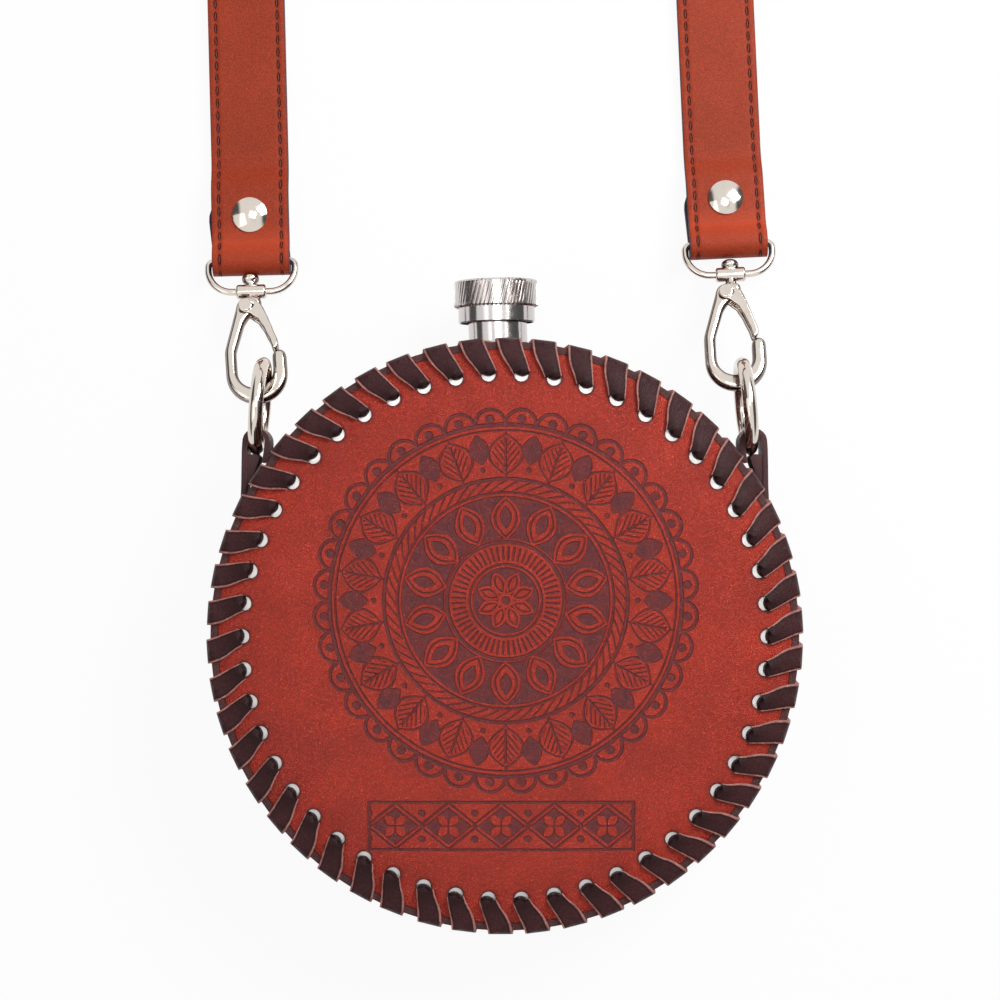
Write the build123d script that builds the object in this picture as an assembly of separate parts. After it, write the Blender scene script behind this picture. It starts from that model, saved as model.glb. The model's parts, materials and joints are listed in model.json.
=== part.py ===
from build123d import *
import math
import os

# Leather-jacketed round flask with a screw cap, hung from a shoulder strap by two snap hooks.
# Millimetres. The origin is the centre of the back panel's flat face, on which the flask lies.
# +Z points out of the front panel, +Y towards the neck, +X to the right seen from the front.

# Jacket panels
jacket_depth = 43.0
panel_radius = 70.9
panel_rim_run = 24.9
panel_drop = 4.0
panel_thickness = 2.6

# Lacing holes
hole_count = 50
hole_diameter = 3.6
hole_inset = 6.2
first_hole_angle = 93.6

# Gusset
gusset_thickness = 1.8
gusset_corner_radius = 0.6
neck_hole_clearance = 0.3

# Lace
lace_thickness = 1.2
lace_width = 6.0
lace_hole_width = 2.9
lace_lift = 0.07
lace_inner_depth = 4.9
lace_hole_shift = 0.45
lace_near_width = 4.45
lace_far_width = 5.4
lace_near_pitch_share = 0.1
lace_far_pitch_share = 0.3
lace_pitch_share = 0.4
lace_rim_angles = (75, 45, 15)
neck_lace_gap = 0.3

# Flask
flask_clearance = 1.9
flask_rim_run = 25.0
flask_wall = 0.6
flask_corner_radius = 8.5
flask_turn = 2.5
flask_offset = 1.6

# Neck
neck_diameter = 14.9
neck_bore = 11.0
neck_inner_length = 3.0
neck_rise = 13.7
thread_pitch = 3.0
thread_turns = 1.5
thread_height = 0.75
thread_root_width = 1.0
thread_crest_width = 0.6
thread_sink = 0.15
thread_clearance = 0.35
thread_low_inset = 1.0

# Cap
cap_head_diameter = 21.5
cap_head_height = 6.9
cap_head_chamfer = 0.8
cap_skirt_diameter = 19.4
cap_skirt_height = 3.8
cap_top_thickness = 1.6
liner_thickness = 1.15
liner_clearance = 0.2
liner_gap = 0.05

# Rings
ring_diameter = 25.0
ring_wire = 3.5
ring_sink = 1.45
left_ring_shift = -0.35
right_ring_shift = -0.35
left_ring_lean = -4.6
right_ring_lean = 5.7

# Tabs
tab_width = 11.0
tab_thickness = 1.4
tab_opening_radius = 2.9
tab_standing = 6.306
tab_angle = 37.595
tab_tail_thickness = 1.0
tab_outer_gap_index = -9
tab_inner_gap_index = -8
tab_outer_tail_angle = 30.8
tab_inner_tail_angle = 8.0

# Strap
strap_width = 20.0
face_thickness = 1.8
lining_thickness = 1.0
fold_clearance = 0.1
ply_gap = 0.1
tail_length = 16.6
tail_corner_radius = 6.0
tail_bend_radius = 5.0
step_bend_radius = 9.0
strap_run_length = 72.0
left_strap_tilt = 1.4
right_strap_tilt = 2.65
left_strap_lift = 0.0
right_strap_lift = 9.0

# Strap rivets
rivet_diameter = 9.0
rivet_dome_height = 1.7
rivet_rim_height = 0.5
rivet_shank_diameter = 3.0
rivet_base_thickness = 0.7
rivet_base_diameter = 7.5
rivet_distance = 11.9

# Roll of the strap beyond the two ends
twist_length = 44.0
twist_steps = 8
roll_radius = 37.0
roll_turns = 3
roll_gap = 0.5
roll_bend_radius = 22.0
gap_skip_length = 24.0

# Swivel loop
loop_width = 24.4
loop_wire = 1.8
loop_length = 9.6
loop_top_corner = 1.6
loop_low_corner = 6.4
boss_diameter = 3.8
boss_width = 7.8
boss_edge_radius = 0.7
left_loop_shift = -3.05
right_loop_shift = -4.2
left_bar_drop = 5.24
right_bar_drop = 3.22
left_bar_ahead = 2.61
right_bar_ahead = 6.7

# Hook, in distances from the loop's bar along the clip
left_swivel_play = 0.0
right_swivel_play = 0.9
left_hook_lean = 4.2
right_hook_lean = -0.8
button_distance = 4.2
button_diameter = 4.1
button_thickness = 1.6
stem_diameter = 2.2
stem_clearance = 0.2
head_distance = 11.0
hook_bar_distance = 37.9
hook_width = 15.0
hook_thickness = 3.0
hook_bar_width = 3.3
hook_left_arm_width = 2.2
hook_nose_width = 2.9
hook_nose_distance = 27.6
hook_edge_radius = 0.6
pin_distance = 13.3
pin_offset = 1.7
head_radius = 2.1
beak_distance = 17.8

# Gate, its pin and its spring
gate_cheek = 0.6
gate_side_gap = 0.1
gate_head_radius = 2.2
gate_tip_radius = 1.2
gate_tip_gap = 0.3
gate_tip_offset = 5.5
gate_web = 0.7
gate_pin_diameter = 1.6
gate_pin_clearance = 0.05
gate_pin_head_diameter = 3.6
gate_pin_head_height = 0.6
spring_wire = 0.4
spring_radius = 1.25
spring_pitch = 0.85
spring_turns = 2
spring_pocket_radius = 1.7
spring_pocket_floor = 0.5

# One overrun serves every cut
overrun = 1.0

# Sizes worked out from the ones above
mid_height = jacket_depth / 2
panel_flat_radius = panel_radius - panel_rim_run
dome_radius = (panel_rim_run**2 + panel_drop**2) / (2 * panel_drop)
hole_circle_radius = panel_radius - hole_inset
gusset_radius = panel_radius + gusset_thickness
flask_radius = panel_radius - flask_clearance
flask_flat_radius = flask_radius - flask_rim_run
tab_arch_x = (gusset_radius + tab_standing) * math.cos(math.radians(tab_angle))
tab_arch_y = (gusset_radius + tab_standing) * math.sin(math.radians(tab_angle))
ring_hinge_y = tab_arch_y - ring_sink
left_ring_x = -tab_arch_x + left_ring_shift
right_ring_x = tab_arch_x + right_ring_shift
hole_pitch = 360 / hole_count
strap_thickness = face_thickness + lining_thickness
fold_inner_radius = loop_wire / 2 + fold_clearance
fold_height = fold_inner_radius + strap_thickness
boss_distance = loop_length - loop_wire / 2
neck_radius = neck_diameter / 2
neck_seat_height = gusset_radius + neck_rise
cap_top_height = neck_seat_height + liner_gap + liner_thickness + liner_gap + cap_top_thickness
cap_skirt_top_height = cap_top_height - cap_head_height
cap_bottom_height = cap_skirt_top_height - cap_skirt_height
cap_bore_radius = neck_radius + thread_height + thread_clearance


class Track:
    """A flat path of straight runs and tangent turns, from which bands of even thickness are cut."""

    def __init__(self, start, heading):
        self.point = start
        self.heading = heading
        self.pieces = []

    def run(self, length):
        """Go straight on."""
        angle = math.radians(self.heading)
        end = (self.point[0] + length * math.cos(angle), self.point[1] + length * math.sin(angle))
        self.pieces.append(("run", self.point, end, self.heading))
        self.point = end
        return self

    def turn(self, radius, degrees):
        """Turn about a centre on the left for positive degrees, on the right for negative ones."""
        side = 1 if degrees > 0 else -1
        start_angle = self.heading - 90 * side
        swept = math.radians(start_angle)
        centre = (self.point[0] - radius * math.cos(swept), self.point[1] - radius * math.sin(swept))
        self.pieces.append(("turn", centre, radius, start_angle, degrees, side))
        swept = math.radians(start_angle + degrees)
        self.point = (centre[0] + radius * math.cos(swept), centre[1] + radius * math.sin(swept))
        self.heading += degrees
        return self

    def edges(self, shift):
        """The path's edges, moved to its left by shift."""
        result = []
        for piece in self.pieces:
            if piece[0] == "run":
                _, start, end, heading = piece
                left = math.radians(heading + 90)
                step = (shift * math.cos(left), shift * math.sin(left))
                ends = [(point[0] + step[0], point[1] + step[1]) for point in (start, end)]
                result.append(Edge.make_line(*ends))
            else:
                _, centre, radius, start_angle, degrees, side = piece
                reach = radius - shift * side
                points = []
                for share in (0, 0.5, 1):
                    angle = math.radians(start_angle + degrees * share)
                    points.append((centre[0] + reach * math.cos(angle), centre[1] + reach * math.sin(angle)))
                result.append(Edge.make_three_point_arc(*points))
        return result

    def band(self, right, left):
        """The flat face between two shifts of the path."""
        low = self.edges(right)
        high = self.edges(left)
        start_cap = Edge.make_line(low[0] @ 0, high[0] @ 0)
        end_cap = Edge.make_line(low[-1] @ 1, high[-1] @ 1)
        return Face(Wire(low + [end_cap] + high + [start_cap]))

    def samples(self, step):
        """Points along the path, about one step apart."""
        points = []
        for edge in self.edges(0):
            count = max(int(edge.length / step), 1)
            points += [edge @ (index / count) for index in range(count)]
        return points


def tube(outer_radius, inner_radius, low, high):
    """A plain tube about the Z axis between two heights."""
    height = high - low
    body = Pos(0, 0, low) * Cylinder(outer_radius, height, align=(Align.CENTER, Align.CENTER, Align.MIN))
    bore_height = height + 2 * overrun
    bore_align = (Align.CENTER, Align.CENTER, Align.MIN)
    return body - Pos(0, 0, low - overrun) * Cylinder(inner_radius, bore_height, align=bore_align)


def rod(radius, low, high):
    """A plain rod about the Z axis between two heights."""
    return Pos(0, 0, low) * Cylinder(radius, high - low, align=(Align.CENTER, Align.CENTER, Align.MIN))


def arc_height(radius, flat, curve, top):
    """Height of a flat disc's curved edge at a radius."""
    return top - curve + math.sqrt(curve**2 - max(radius - flat, 0) ** 2)


def panel_height(radius):
    """Height of the front panel's outer skin at a radius."""
    return arc_height(radius, panel_flat_radius, dome_radius, jacket_depth)


def curved_edge(start_radius, end_radius, flat, curve, top):
    """The arc of a disc's curved edge, between two radii, in the radius and height plane."""
    middle = (start_radius + end_radius) / 2
    points = [(r, arc_height(r, flat, curve, top)) for r in (start_radius, middle, end_radius)]
    return Edge.make_three_point_arc(*points)


def turned(edges):
    """Close a chain of edges into a face in the radius and height plane and turn it about Z."""
    return revolve(Plane.XZ * Face(Wire(edges)), Axis.Z)


def make_panel():
    """The front panel: a flat disc whose rim curves down, pierced all round for the lace."""
    inner_top = jacket_depth - panel_thickness
    inner_curve = dome_radius - panel_thickness
    outer = curved_edge(panel_flat_radius, panel_radius, panel_flat_radius, dome_radius, jacket_depth)
    inner = curved_edge(panel_flat_radius, panel_radius, panel_flat_radius, inner_curve, inner_top)
    edges = [
        Edge.make_line((0, inner_top), (0, jacket_depth)),
        Edge.make_line((0, jacket_depth), outer @ 0),
        outer,
        Edge.make_line(outer @ 1, inner @ 1),
        inner,
        Edge.make_line(inner @ 0, (0, inner_top)),
    ]
    hole = Cylinder(hole_diameter / 2, 2 * jacket_depth)
    holes = PolarLocations(hole_circle_radius, hole_count, start_angle=first_hole_angle) * hole
    return turned(edges) - holes


def neck_place():
    """The neck's axis: its own Z runs from the flask's centre out through the mouth."""
    return Pos(flask_offset, 0, mid_height) * Rot(0, 0, flask_turn) * Rot(-90, 0, 0)


def make_gusset(tabs):
    """The band round the rim, with the neck's hole and the shallow beds of the two tabs."""
    low = panel_drop
    band = tube(gusset_radius, panel_radius, low, jacket_depth - low)
    rims = [edge for edge in band.edges().filter_by(GeomType.CIRCLE) if edge.radius > panel_radius]
    band = fillet(rims, gusset_corner_radius)
    band -= neck_place() * rod(neck_radius + neck_hole_clearance, flask_radius / 2, 2 * flask_radius)
    for tab in tabs:
        band -= tab
    return band


def lace_stations():
    """One crossing of the lace: radius, height, share of the pitch and width, front hole to back hole."""
    half = lace_thickness / 2 + lace_lift
    hole_radius = hole_circle_radius + lace_hole_shift
    corner_radius = gusset_radius - gusset_corner_radius
    corner_height = jacket_depth - panel_drop - gusset_corner_radius
    bend = gusset_corner_radius + half
    rise = panel_height(hole_radius)
    near = hole_radius + half + lace_thickness
    far = (near + panel_radius) / 2 + lace_thickness
    front = [
        (hole_radius, jacket_depth - lace_inner_depth, 0, lace_hole_width),
        (hole_radius, rise - half, 0, lace_hole_width),
        (hole_radius + half, rise + half / 2, 0, lace_hole_width),
        (near, panel_height(near) + half, lace_near_pitch_share, lace_near_width),
        (far, panel_height(far) + half, lace_far_pitch_share, lace_far_width),
    ]
    for degrees in lace_rim_angles:
        angle = math.radians(degrees)
        place = (corner_radius + bend * math.cos(angle), corner_height + bend * math.sin(angle))
        front.append((*place, lace_pitch_share, lace_width))
    front.append((corner_radius + bend, mid_height, 0.5, lace_width))
    back = [(r, jacket_depth - z, 1 - share, width) for r, z, share, width in reversed(front[:-1])]
    return front + back


def lace_crossing():
    """One crossing: a ruled band through its stations, at the angle of the first hole."""
    stations = lace_stations()
    hole_radius = stations[0][0]
    points = []
    for radius, height, share, width in stations:
        angle = math.radians(share * hole_pitch)
        points.append(Vector(radius * math.cos(angle), radius * math.sin(angle), height))
    faces = []
    for index, (radius, height, share, width) in enumerate(stations):
        before = points[max(index - 1, 0)]
        after = points[min(index + 1, len(points) - 1)]
        along = (after - before).normalized()
        if radius == hole_radius:
            along = Vector(0, 0, 1)
        angle = math.radians(share * hole_pitch)
        across = Vector(-math.sin(angle), math.cos(angle), 0)
        across = (across - along * across.dot(along)).normalized()
        place = Plane(origin=points[index], x_dir=across, z_dir=along)
        faces.append((place * Rectangle(width, lace_thickness)).face())
    return loft(faces, ruled=True)


def make_lacing():
    """Every crossing, cut back where the neck stands between the front and the back."""
    crossing = lace_crossing()
    neck_cut = neck_place() * rod(neck_radius + neck_lace_gap, flask_radius / 2, 2 * flask_radius)
    crossings = []
    for index in range(hole_count):
        copy = Rot(0, 0, first_hole_angle + index * hole_pitch) * crossing
        crossings += (copy - neck_cut).solids()
    return Compound(children=crossings)


def flask_half(inset):
    """The front half of the flask's outer form, set in by a thickness, about its own axis."""
    radius = flask_radius - inset
    top = jacket_depth - panel_thickness - inset
    curve = dome_radius - panel_thickness - inset
    edge = curved_edge(flask_flat_radius, radius, flask_flat_radius, curve, top)
    edges = [
        Edge.make_line((0, mid_height), (0, top)),
        Edge.make_line((0, top), edge @ 0),
        edge,
        Edge.make_line(edge @ 1, (radius, mid_height)),
        Edge.make_line((radius, mid_height), (0, mid_height)),
    ]
    outline = Face(Wire(edges))
    corner = max(outline.vertices(), key=lambda vertex: vertex.X + vertex.Y)
    outline = outline.fillet_2d(flask_corner_radius - inset, [corner])
    return revolve(Plane.XZ * outline, Axis.Z)


def make_flask_shells():
    """Two stamped shells that meet at the seam on the mid plane, pierced for the neck."""
    front = Pos(flask_offset, 0, 0) * (flask_half(0) - flask_half(flask_wall))
    front -= neck_place() * rod(neck_radius, flask_radius / 2, 2 * flask_radius)
    return front, mirror(front, about=Plane.XY.offset(mid_height))


def thread_ridge(root_radius, crest_radius, low):
    """A helical ridge from its root towards its crest, about the Z axis."""
    half_root = thread_root_width / 2
    half_crest = thread_crest_width / 2
    path = Helix(thread_pitch, thread_pitch * thread_turns, root_radius)
    outline = [(root_radius, -half_root), (crest_radius, -half_crest)]
    outline += [(crest_radius, half_crest), (root_radius, half_root)]
    profile = Plane.XZ * Face(Wire.make_polygon(outline))
    return Pos(0, 0, low) * sweep(profile, path=path, is_frenet=True)


def make_neck():
    """The neck: a tube with an outside thread, set through the flask's wall."""
    body = tube(neck_radius, neck_bore / 2, flask_radius - neck_inner_length, neck_seat_height)
    low = cap_bottom_height + thread_low_inset
    ridge = thread_ridge(neck_radius - thread_sink, neck_radius + thread_height, low)
    return neck_place() * (body + ridge)


def make_cap():
    """The screw cap: a chamfered head over a plain skirt, with its inside thread."""
    head = rod(cap_head_diameter / 2, cap_skirt_top_height, cap_top_height)
    head = chamfer(head.edges().filter_by(GeomType.CIRCLE), cap_head_chamfer)
    body = head + rod(cap_skirt_diameter / 2, cap_bottom_height, cap_skirt_top_height)
    body -= rod(cap_bore_radius, cap_bottom_height - overrun, cap_top_height - cap_top_thickness)
    low = cap_bottom_height + thread_low_inset + thread_pitch / 2
    ridge = thread_ridge(cap_bore_radius + thread_sink, neck_radius + thread_clearance, low)
    return neck_place() * (body + ridge)


def make_liner():
    """The sealing disc that lies on the neck's mouth."""
    low = neck_seat_height + liner_gap
    return neck_place() * rod(cap_bore_radius - liner_clearance, low, low + liner_thickness)


def make_ring(x, lean):
    """A wire ring, upright across the flask, leaning about the place where its tab holds it."""
    radius = (ring_diameter - ring_wire) / 2
    ring = Torus(radius, ring_wire / 2)
    return Pos(x, ring_hinge_y, mid_height) * Rot(0, 0, lean) * Pos(0, radius, 0) * Rot(0, 90, 0) * ring


def arc_band(radius, thickness, start_angle, end_angle):
    """A flat band along an arc about the Z axis."""
    start = (radius * math.cos(math.radians(start_angle)), radius * math.sin(math.radians(start_angle)))
    track = Track(start, start_angle + 90)
    return track.turn(radius, end_angle - start_angle).band(-thickness / 2, thickness / 2)


def make_right_tab():
    """A strip bent over the ring, its tails let into the gusset between and under the lace's crossings."""
    bed = gusset_radius - tab_tail_thickness / 2
    half = tab_thickness / 2
    lace_top = gusset_radius + 2 * lace_lift + lace_thickness + half
    arch = tab_opening_radius + half
    outline = Track((tab_arch_x + arch, tab_arch_y), 90).turn(arch, 180).band(-half, half)
    tails = Sketch()
    for index, side, tail in (
        (tab_outer_gap_index, 1, -tab_outer_tail_angle),
        (tab_inner_gap_index, -1, tab_inner_tail_angle),
    ):
        gap = first_hole_angle + index * hole_pitch
        angle = math.radians(gap)
        points = [(tab_arch_x + side * arch, tab_arch_y)]
        points += [(radius * math.cos(angle), radius * math.sin(angle)) for radius in (lace_top, bed)]
        outline += leg_band(points, half)
        tails += arc_band(bed, tab_tail_thickness, min(gap, gap + tail), max(gap, gap + tail))
    outline = outline - Circle(bed - tab_tail_thickness / 2) + tails
    return Pos(0, 0, mid_height - tab_width / 2) * extrude(outline, tab_width)


def leg_band(points, half):
    """A strip of even thickness through a few points, rounded at its bends."""
    shape = Sketch()
    for start, end in zip(points, points[1:]):
        heading = math.degrees(math.atan2(end[1] - start[1], end[0] - start[0]))
        length = math.dist(start, end)
        shape += Track(start, heading).run(length).band(-half, half)
        shape += Pos(*end) * Circle(half)
    return shape


def strap_place(side):
    """The upright plane along a strap end: its X runs away from the clip, its Y upwards."""
    x, y, tilt = side["loop_x"], side["loop_y"], side["tilt"]
    along = (-math.sin(math.radians(tilt)), math.cos(math.radians(tilt)), 0)
    return Plane(origin=(x, y, 0), x_dir=along, z_dir=(along[1], -along[0], 0))


def bar_height(side):
    """Height of the loop's bar above the table, with the tail's far end resting on it."""
    lift = math.radians(side["lift"])
    return tail_length * math.sin(lift) + fold_height * math.cos(lift)


def tail_point(side, along, up):
    """A point of the tail's own frame, which the lift turns, in the strap's upright plane."""
    lift = math.radians(side["lift"])
    rise = up - fold_height
    across = along * math.cos(lift) + rise * math.sin(lift)
    return (across, bar_height(side) - along * math.sin(lift) + rise * math.cos(lift))


def strap_track(side):
    """The strap's middle line: tail, fold round the bar, down on the tail, down to the table."""
    lift = side["lift"]
    half = strap_thickness / 2
    fold_radius = fold_inner_radius + half
    track = Track(tail_point(side, tail_length, half), 180 - lift)
    track.run(tail_length)
    track.turn(fold_radius, -180)
    drop = 2 * fold_radius - strap_thickness - ply_gap
    sink = math.degrees(math.acos(1 - drop / (2 * tail_bend_radius)))
    track.turn(tail_bend_radius, -sink)
    track.turn(tail_bend_radius, sink)
    track.run(tail_length - 2 * tail_bend_radius * math.sin(math.radians(sink)))
    height = track.point[1] - half
    tip = (1 + math.cos(math.radians(lift)) - height / step_bend_radius) / 2
    sink = math.degrees(math.acos(tip)) - lift
    track.turn(step_bend_radius, -sink)
    track.turn(step_bend_radius, sink + lift)
    track.run(strap_run_length - track.point[0])
    return track


def strap_end(side, low, high):
    """One ply of a strap end, between two shifts of the middle line, its tail's end rounded."""
    face = strap_track(side).band(low, high)
    ply = strap_place(side) * extrude(face, strap_width / 2, both=True)
    corner = tail_corner_radius
    block = Box(2 * corner, 2 * corner, 2 * strap_thickness)
    rounding = block - Pos(-corner, -corner, 0) * rod(corner, -2 * strap_thickness, 2 * strap_thickness)
    across = strap_width / 2
    place = tail_frame(side)
    ends = place * Pos(tail_length, across, strap_thickness / 2) * rounding
    other = place * Pos(tail_length, -across, strap_thickness / 2) * mirror(rounding, about=Plane.XZ)
    zone = Box(4 * corner, 2 * strap_width, strap_thickness)
    tail_zone = place * Pos(tail_length, 0, strap_thickness / 4) * zone
    return ply - ((ends + other) & tail_zone)


def tail_frame(side):
    """A strap end's own frame: X away from the clip, Z up through the tail, at the tail's underside."""
    plane = strap_place(side)
    origin = plane.from_local_coords(Vector(*tail_point(side, 0, 0)))
    return Location(origin) * Rot(0, 0, 90 + side["tilt"]) * Rot(0, side["lift"], 0)


def make_rivet_cap(side):
    """The domed cap half of a strap rivet with its shank."""
    stack = 2 * strap_thickness + ply_gap
    place = tail_frame(side) * Pos(rivet_distance, 0, stack)
    radius = rivet_diameter / 2
    rim = rod(radius, 0, rivet_rim_height)
    rise = rivet_dome_height - rivet_rim_height
    dome_curve = (radius**2 + rise**2) / (2 * rise)
    dome = Pos(0, 0, rivet_dome_height - dome_curve) * Sphere(dome_curve)
    dome = dome & rod(radius, rivet_rim_height, rivet_dome_height + overrun)
    shank = rod(rivet_shank_diameter / 2, rivet_base_thickness - stack, 0)
    return place * (rim + dome + shank)


def make_rivet_base(side):
    """The flat base half of a strap rivet, set flush into the tail."""
    place = tail_frame(side) * Pos(rivet_distance, 0, 0)
    return place * rod(rivet_base_diameter / 2, 0, rivet_base_thickness)


def rivet_cut(side):
    """What both plies give up to the rivet."""
    place = tail_frame(side) * Pos(rivet_distance, 0, 0)
    shank = rod(rivet_shank_diameter / 2, -overrun, 2 * strap_thickness + overrun)
    return place * (shank + rod(rivet_base_diameter / 2, -overrun, rivet_base_thickness))


def strap_far_end(side):
    """Plan position where a strap end stops and the roll begins."""
    tilt = math.radians(side["tilt"])
    x = side["loop_x"] - strap_run_length * math.sin(tilt)
    return (x, side["loop_y"] + strap_run_length * math.cos(tilt))


def twist(side, face_side):
    """A stretch of strap that turns from lying flat to standing on edge, as a ruled band."""
    x, y = strap_far_end(side)
    faces = []
    for step in range(twist_steps + 1):
        share = step / twist_steps
        turn = math.radians(90 * share)
        lean = side["tilt"] * (1 - share)
        height = strap_width / 2 * math.sin(turn) + strap_thickness / 2 * math.cos(turn)
        drift = math.tan(math.radians(side["tilt"])) * twist_length * share * (1 - share / 2)
        along = Vector(-math.sin(math.radians(lean)), math.cos(math.radians(lean)), 0)
        flat = Vector(along.Y, -along.X, 0)
        across = flat * math.cos(turn) - Vector(0, 0, face_side * math.sin(turn))
        place = Plane(origin=(x - drift, y + twist_length * share, height), x_dir=across, z_dir=along)
        faces.append((place * Rectangle(strap_width, strap_thickness)).face())
    return loft(faces, ruled=True)


def roll_track(left, right):
    """The rolled strap's middle line in plan, from the left end in to the centre and out to the right."""
    left_x, left_y = strap_far_end(left)
    right_x, right_y = strap_far_end(right)
    left_x -= math.tan(math.radians(left["tilt"])) * twist_length / 2
    right_x -= math.tan(math.radians(right["tilt"])) * twist_length / 2
    left_y += twist_length
    right_y += twist_length
    step = strap_thickness + roll_gap
    centre_y = right_y + roll_bend_radius + roll_radius
    centre_x = left_x + roll_radius
    heart = (2 * roll_radius - (2 * roll_turns - 1) * step) / 4
    track = Track((left_x, left_y), 90).run(centre_y - left_y)
    for turn_in in range(roll_turns):
        track.turn(roll_radius - turn_in * step, -180)
    track.turn(heart, -180)
    track.turn(heart, 180)
    for turn_out in range(roll_turns - 1, 0, -1):
        track.turn(roll_radius - turn_out * step, 180)
    track.turn(roll_radius, 90)
    track.run(right_x - roll_bend_radius - centre_x - step)
    track.turn(roll_bend_radius, -90)
    return track


def least_gap(track):
    """The least gap of the rolled strap to itself, measured on points of its middle line."""
    spacing = strap_thickness / 2
    points = track.samples(spacing)
    skip = int(gap_skip_length / spacing)
    least = math.inf
    for index, point in enumerate(points):
        for other in points[index + skip :]:
            least = min(least, (point - other).length)
    return least - strap_thickness


def make_rolled_strap(left, right):
    """The rest of the strap: two twisted stretches and the roll, in one unbroken solid."""
    track = roll_track(left, right)
    print(f"rolled strap: least gap to itself {least_gap(track):.2f} mm")
    print(f"rolled strap: middle line {sum(edge.length for edge in track.edges(0)):.0f} mm")
    half = strap_thickness / 2
    roll = extrude(track.band(-half, half), strap_width)
    return twist(left, 1) + roll + twist(right, -1)


def clip_place(side):
    """A clip's own frame: at the loop's bar, Y back along the clip to the strap, Z up out of it."""
    origin = (side["loop_x"], side["loop_y"], bar_height(side))
    return Pos(*origin) * Rot(0, 0, side["tilt"]) * Rot(-side["slope"], 0, 0)


def hook_place(side):
    """The hook's own frame, leaning in the loop's collar and slid along by the swivel's play."""
    collar = clip_place(side) * Pos(0, -boss_distance, 0)
    return collar * Rot(0, 0, side["lean"]) * Pos(0, boss_distance - side["play"], 0)


def make_loop(side):
    """The swivel loop: a bent wire with a straight bar and a bored collar."""
    wire = loop_wire / 2
    half_width = loop_width / 2 - wire
    length = loop_length - wire
    upright = length - loop_top_corner - loop_low_corner
    path = Track((loop_top_corner - half_width, 0), 0).run(2 * (half_width - loop_top_corner))
    path.turn(loop_top_corner, -90).run(upright).turn(loop_low_corner, -90)
    path.run(2 * (half_width - loop_low_corner)).turn(loop_low_corner, -90)
    path.run(upright).turn(loop_top_corner, -90)
    start = Plane(origin=(path.point[0], path.point[1], 0), x_dir=(0, 1, 0), z_dir=(1, 0, 0))
    bent = sweep(start * Circle(wire), path=Wire(path.edges(0)))
    boss = Rot(0, 90, 0) * Cylinder(boss_diameter / 2, boss_width)
    boss = fillet(boss.edges().filter_by(GeomType.CIRCLE), boss_edge_radius)
    body = bent + Pos(0, -boss_distance, 0) * boss
    bore = rod(stem_diameter / 2 + stem_clearance, -boss_diameter, boss_diameter)
    body -= Pos(0, -boss_distance, 0) * Rot(90, 0, 0) * bore
    return clip_place(side) * body


def hook_outline():
    """The hook's flat outline: head round the pin, beak, long arm, round bar and nose."""
    half = hook_width / 2
    bowl = hook_bar_distance + hook_bar_width / 2 - half
    inner_left = -half + hook_left_arm_width
    inner_right = half - hook_nose_width
    inner_radius = (inner_right - inner_left) / 2
    inner_x = (inner_left + inner_right) / 2
    inner_bowl = hook_bar_distance - hook_bar_width / 2 - inner_radius
    shoulder = hook_nose_distance - hook_left_arm_width
    outer = Pos(0, -bowl) * Circle(half)
    outer += Pos(0, -(shoulder + bowl) / 2) * Rectangle(hook_width, bowl - shoulder)
    inner = Pos(inner_x, -inner_bowl) * Circle(inner_radius)
    inner += Pos(inner_x, -inner_bowl / 2) * Rectangle(2 * inner_radius, inner_bowl)
    nose_top = Pos(half, -hook_nose_distance / 2) * Rectangle(hook_width, hook_nose_distance)
    outer -= inner
    outer -= nose_top
    nose_radius = hook_nose_width / 2
    outer += Pos(half - nose_radius, -hook_nose_distance) * Circle(nose_radius) & tip_zone(half)
    head_left = pin_offset + head_radius
    arm = [
        (-head_left, -pin_distance),
        (-half, -shoulder),
        (inner_left, -shoulder),
        (-pin_offset - gate_web, -beak_distance + head_radius / 2),
    ]
    outer += Face(Wire.make_polygon(arm))
    beak = [
        (-head_left, -pin_distance),
        (-pin_offset - head_radius / 2, -beak_distance),
        (-pin_offset + head_radius, -pin_distance),
    ]
    outer += Face(Wire.make_polygon(beak))
    outer += Pos(-pin_offset, -pin_distance) * Circle(head_radius)
    root = (head_distance + pin_distance) / 2
    return outer + Pos(0, -root) * Rectangle(button_diameter, pin_distance - head_distance)


def tip_zone(half):
    """The area in which the nose's rounded end lies."""
    return Pos(half, -hook_nose_distance) * Rectangle(hook_width, hook_width)


def bowl_edges(body):
    """The long edges of the hook's bar, arm and nose, on both faces."""
    low = hook_nose_distance - hook_bar_width
    edges = [edge for edge in body.edges() if abs(edge.center().Z) > hook_thickness / 4]
    return [edge for edge in edges if max((edge @ 0).Y, (edge @ 1).Y) < -low]


def make_hook(side):
    """The hook with its swivel stem and the button that holds it in the loop."""
    body = extrude(hook_outline(), hook_thickness / 2, both=True)
    body = fillet(bowl_edges(body), hook_edge_radius)
    spine = Rot(90, 0, 0)
    stem_low = button_distance + button_thickness / 2
    body += spine * rod(stem_diameter / 2, stem_low, head_distance + stem_diameter / 2)
    button = spine * rod(button_diameter / 2, button_distance, button_distance + button_thickness)
    body += fillet(button.edges().filter_by(GeomType.CIRCLE).sort_by(Axis.Y)[-1], button_thickness / 2)
    pin = Pos(-pin_offset, -pin_distance, 0)
    body -= pin * Cylinder(gate_pin_diameter / 2, 2 * hook_thickness)
    body -= pin * rod(spring_pocket_radius, spring_pocket_floor - hook_thickness / 2, hook_thickness)
    return hook_place(side) * body


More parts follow.
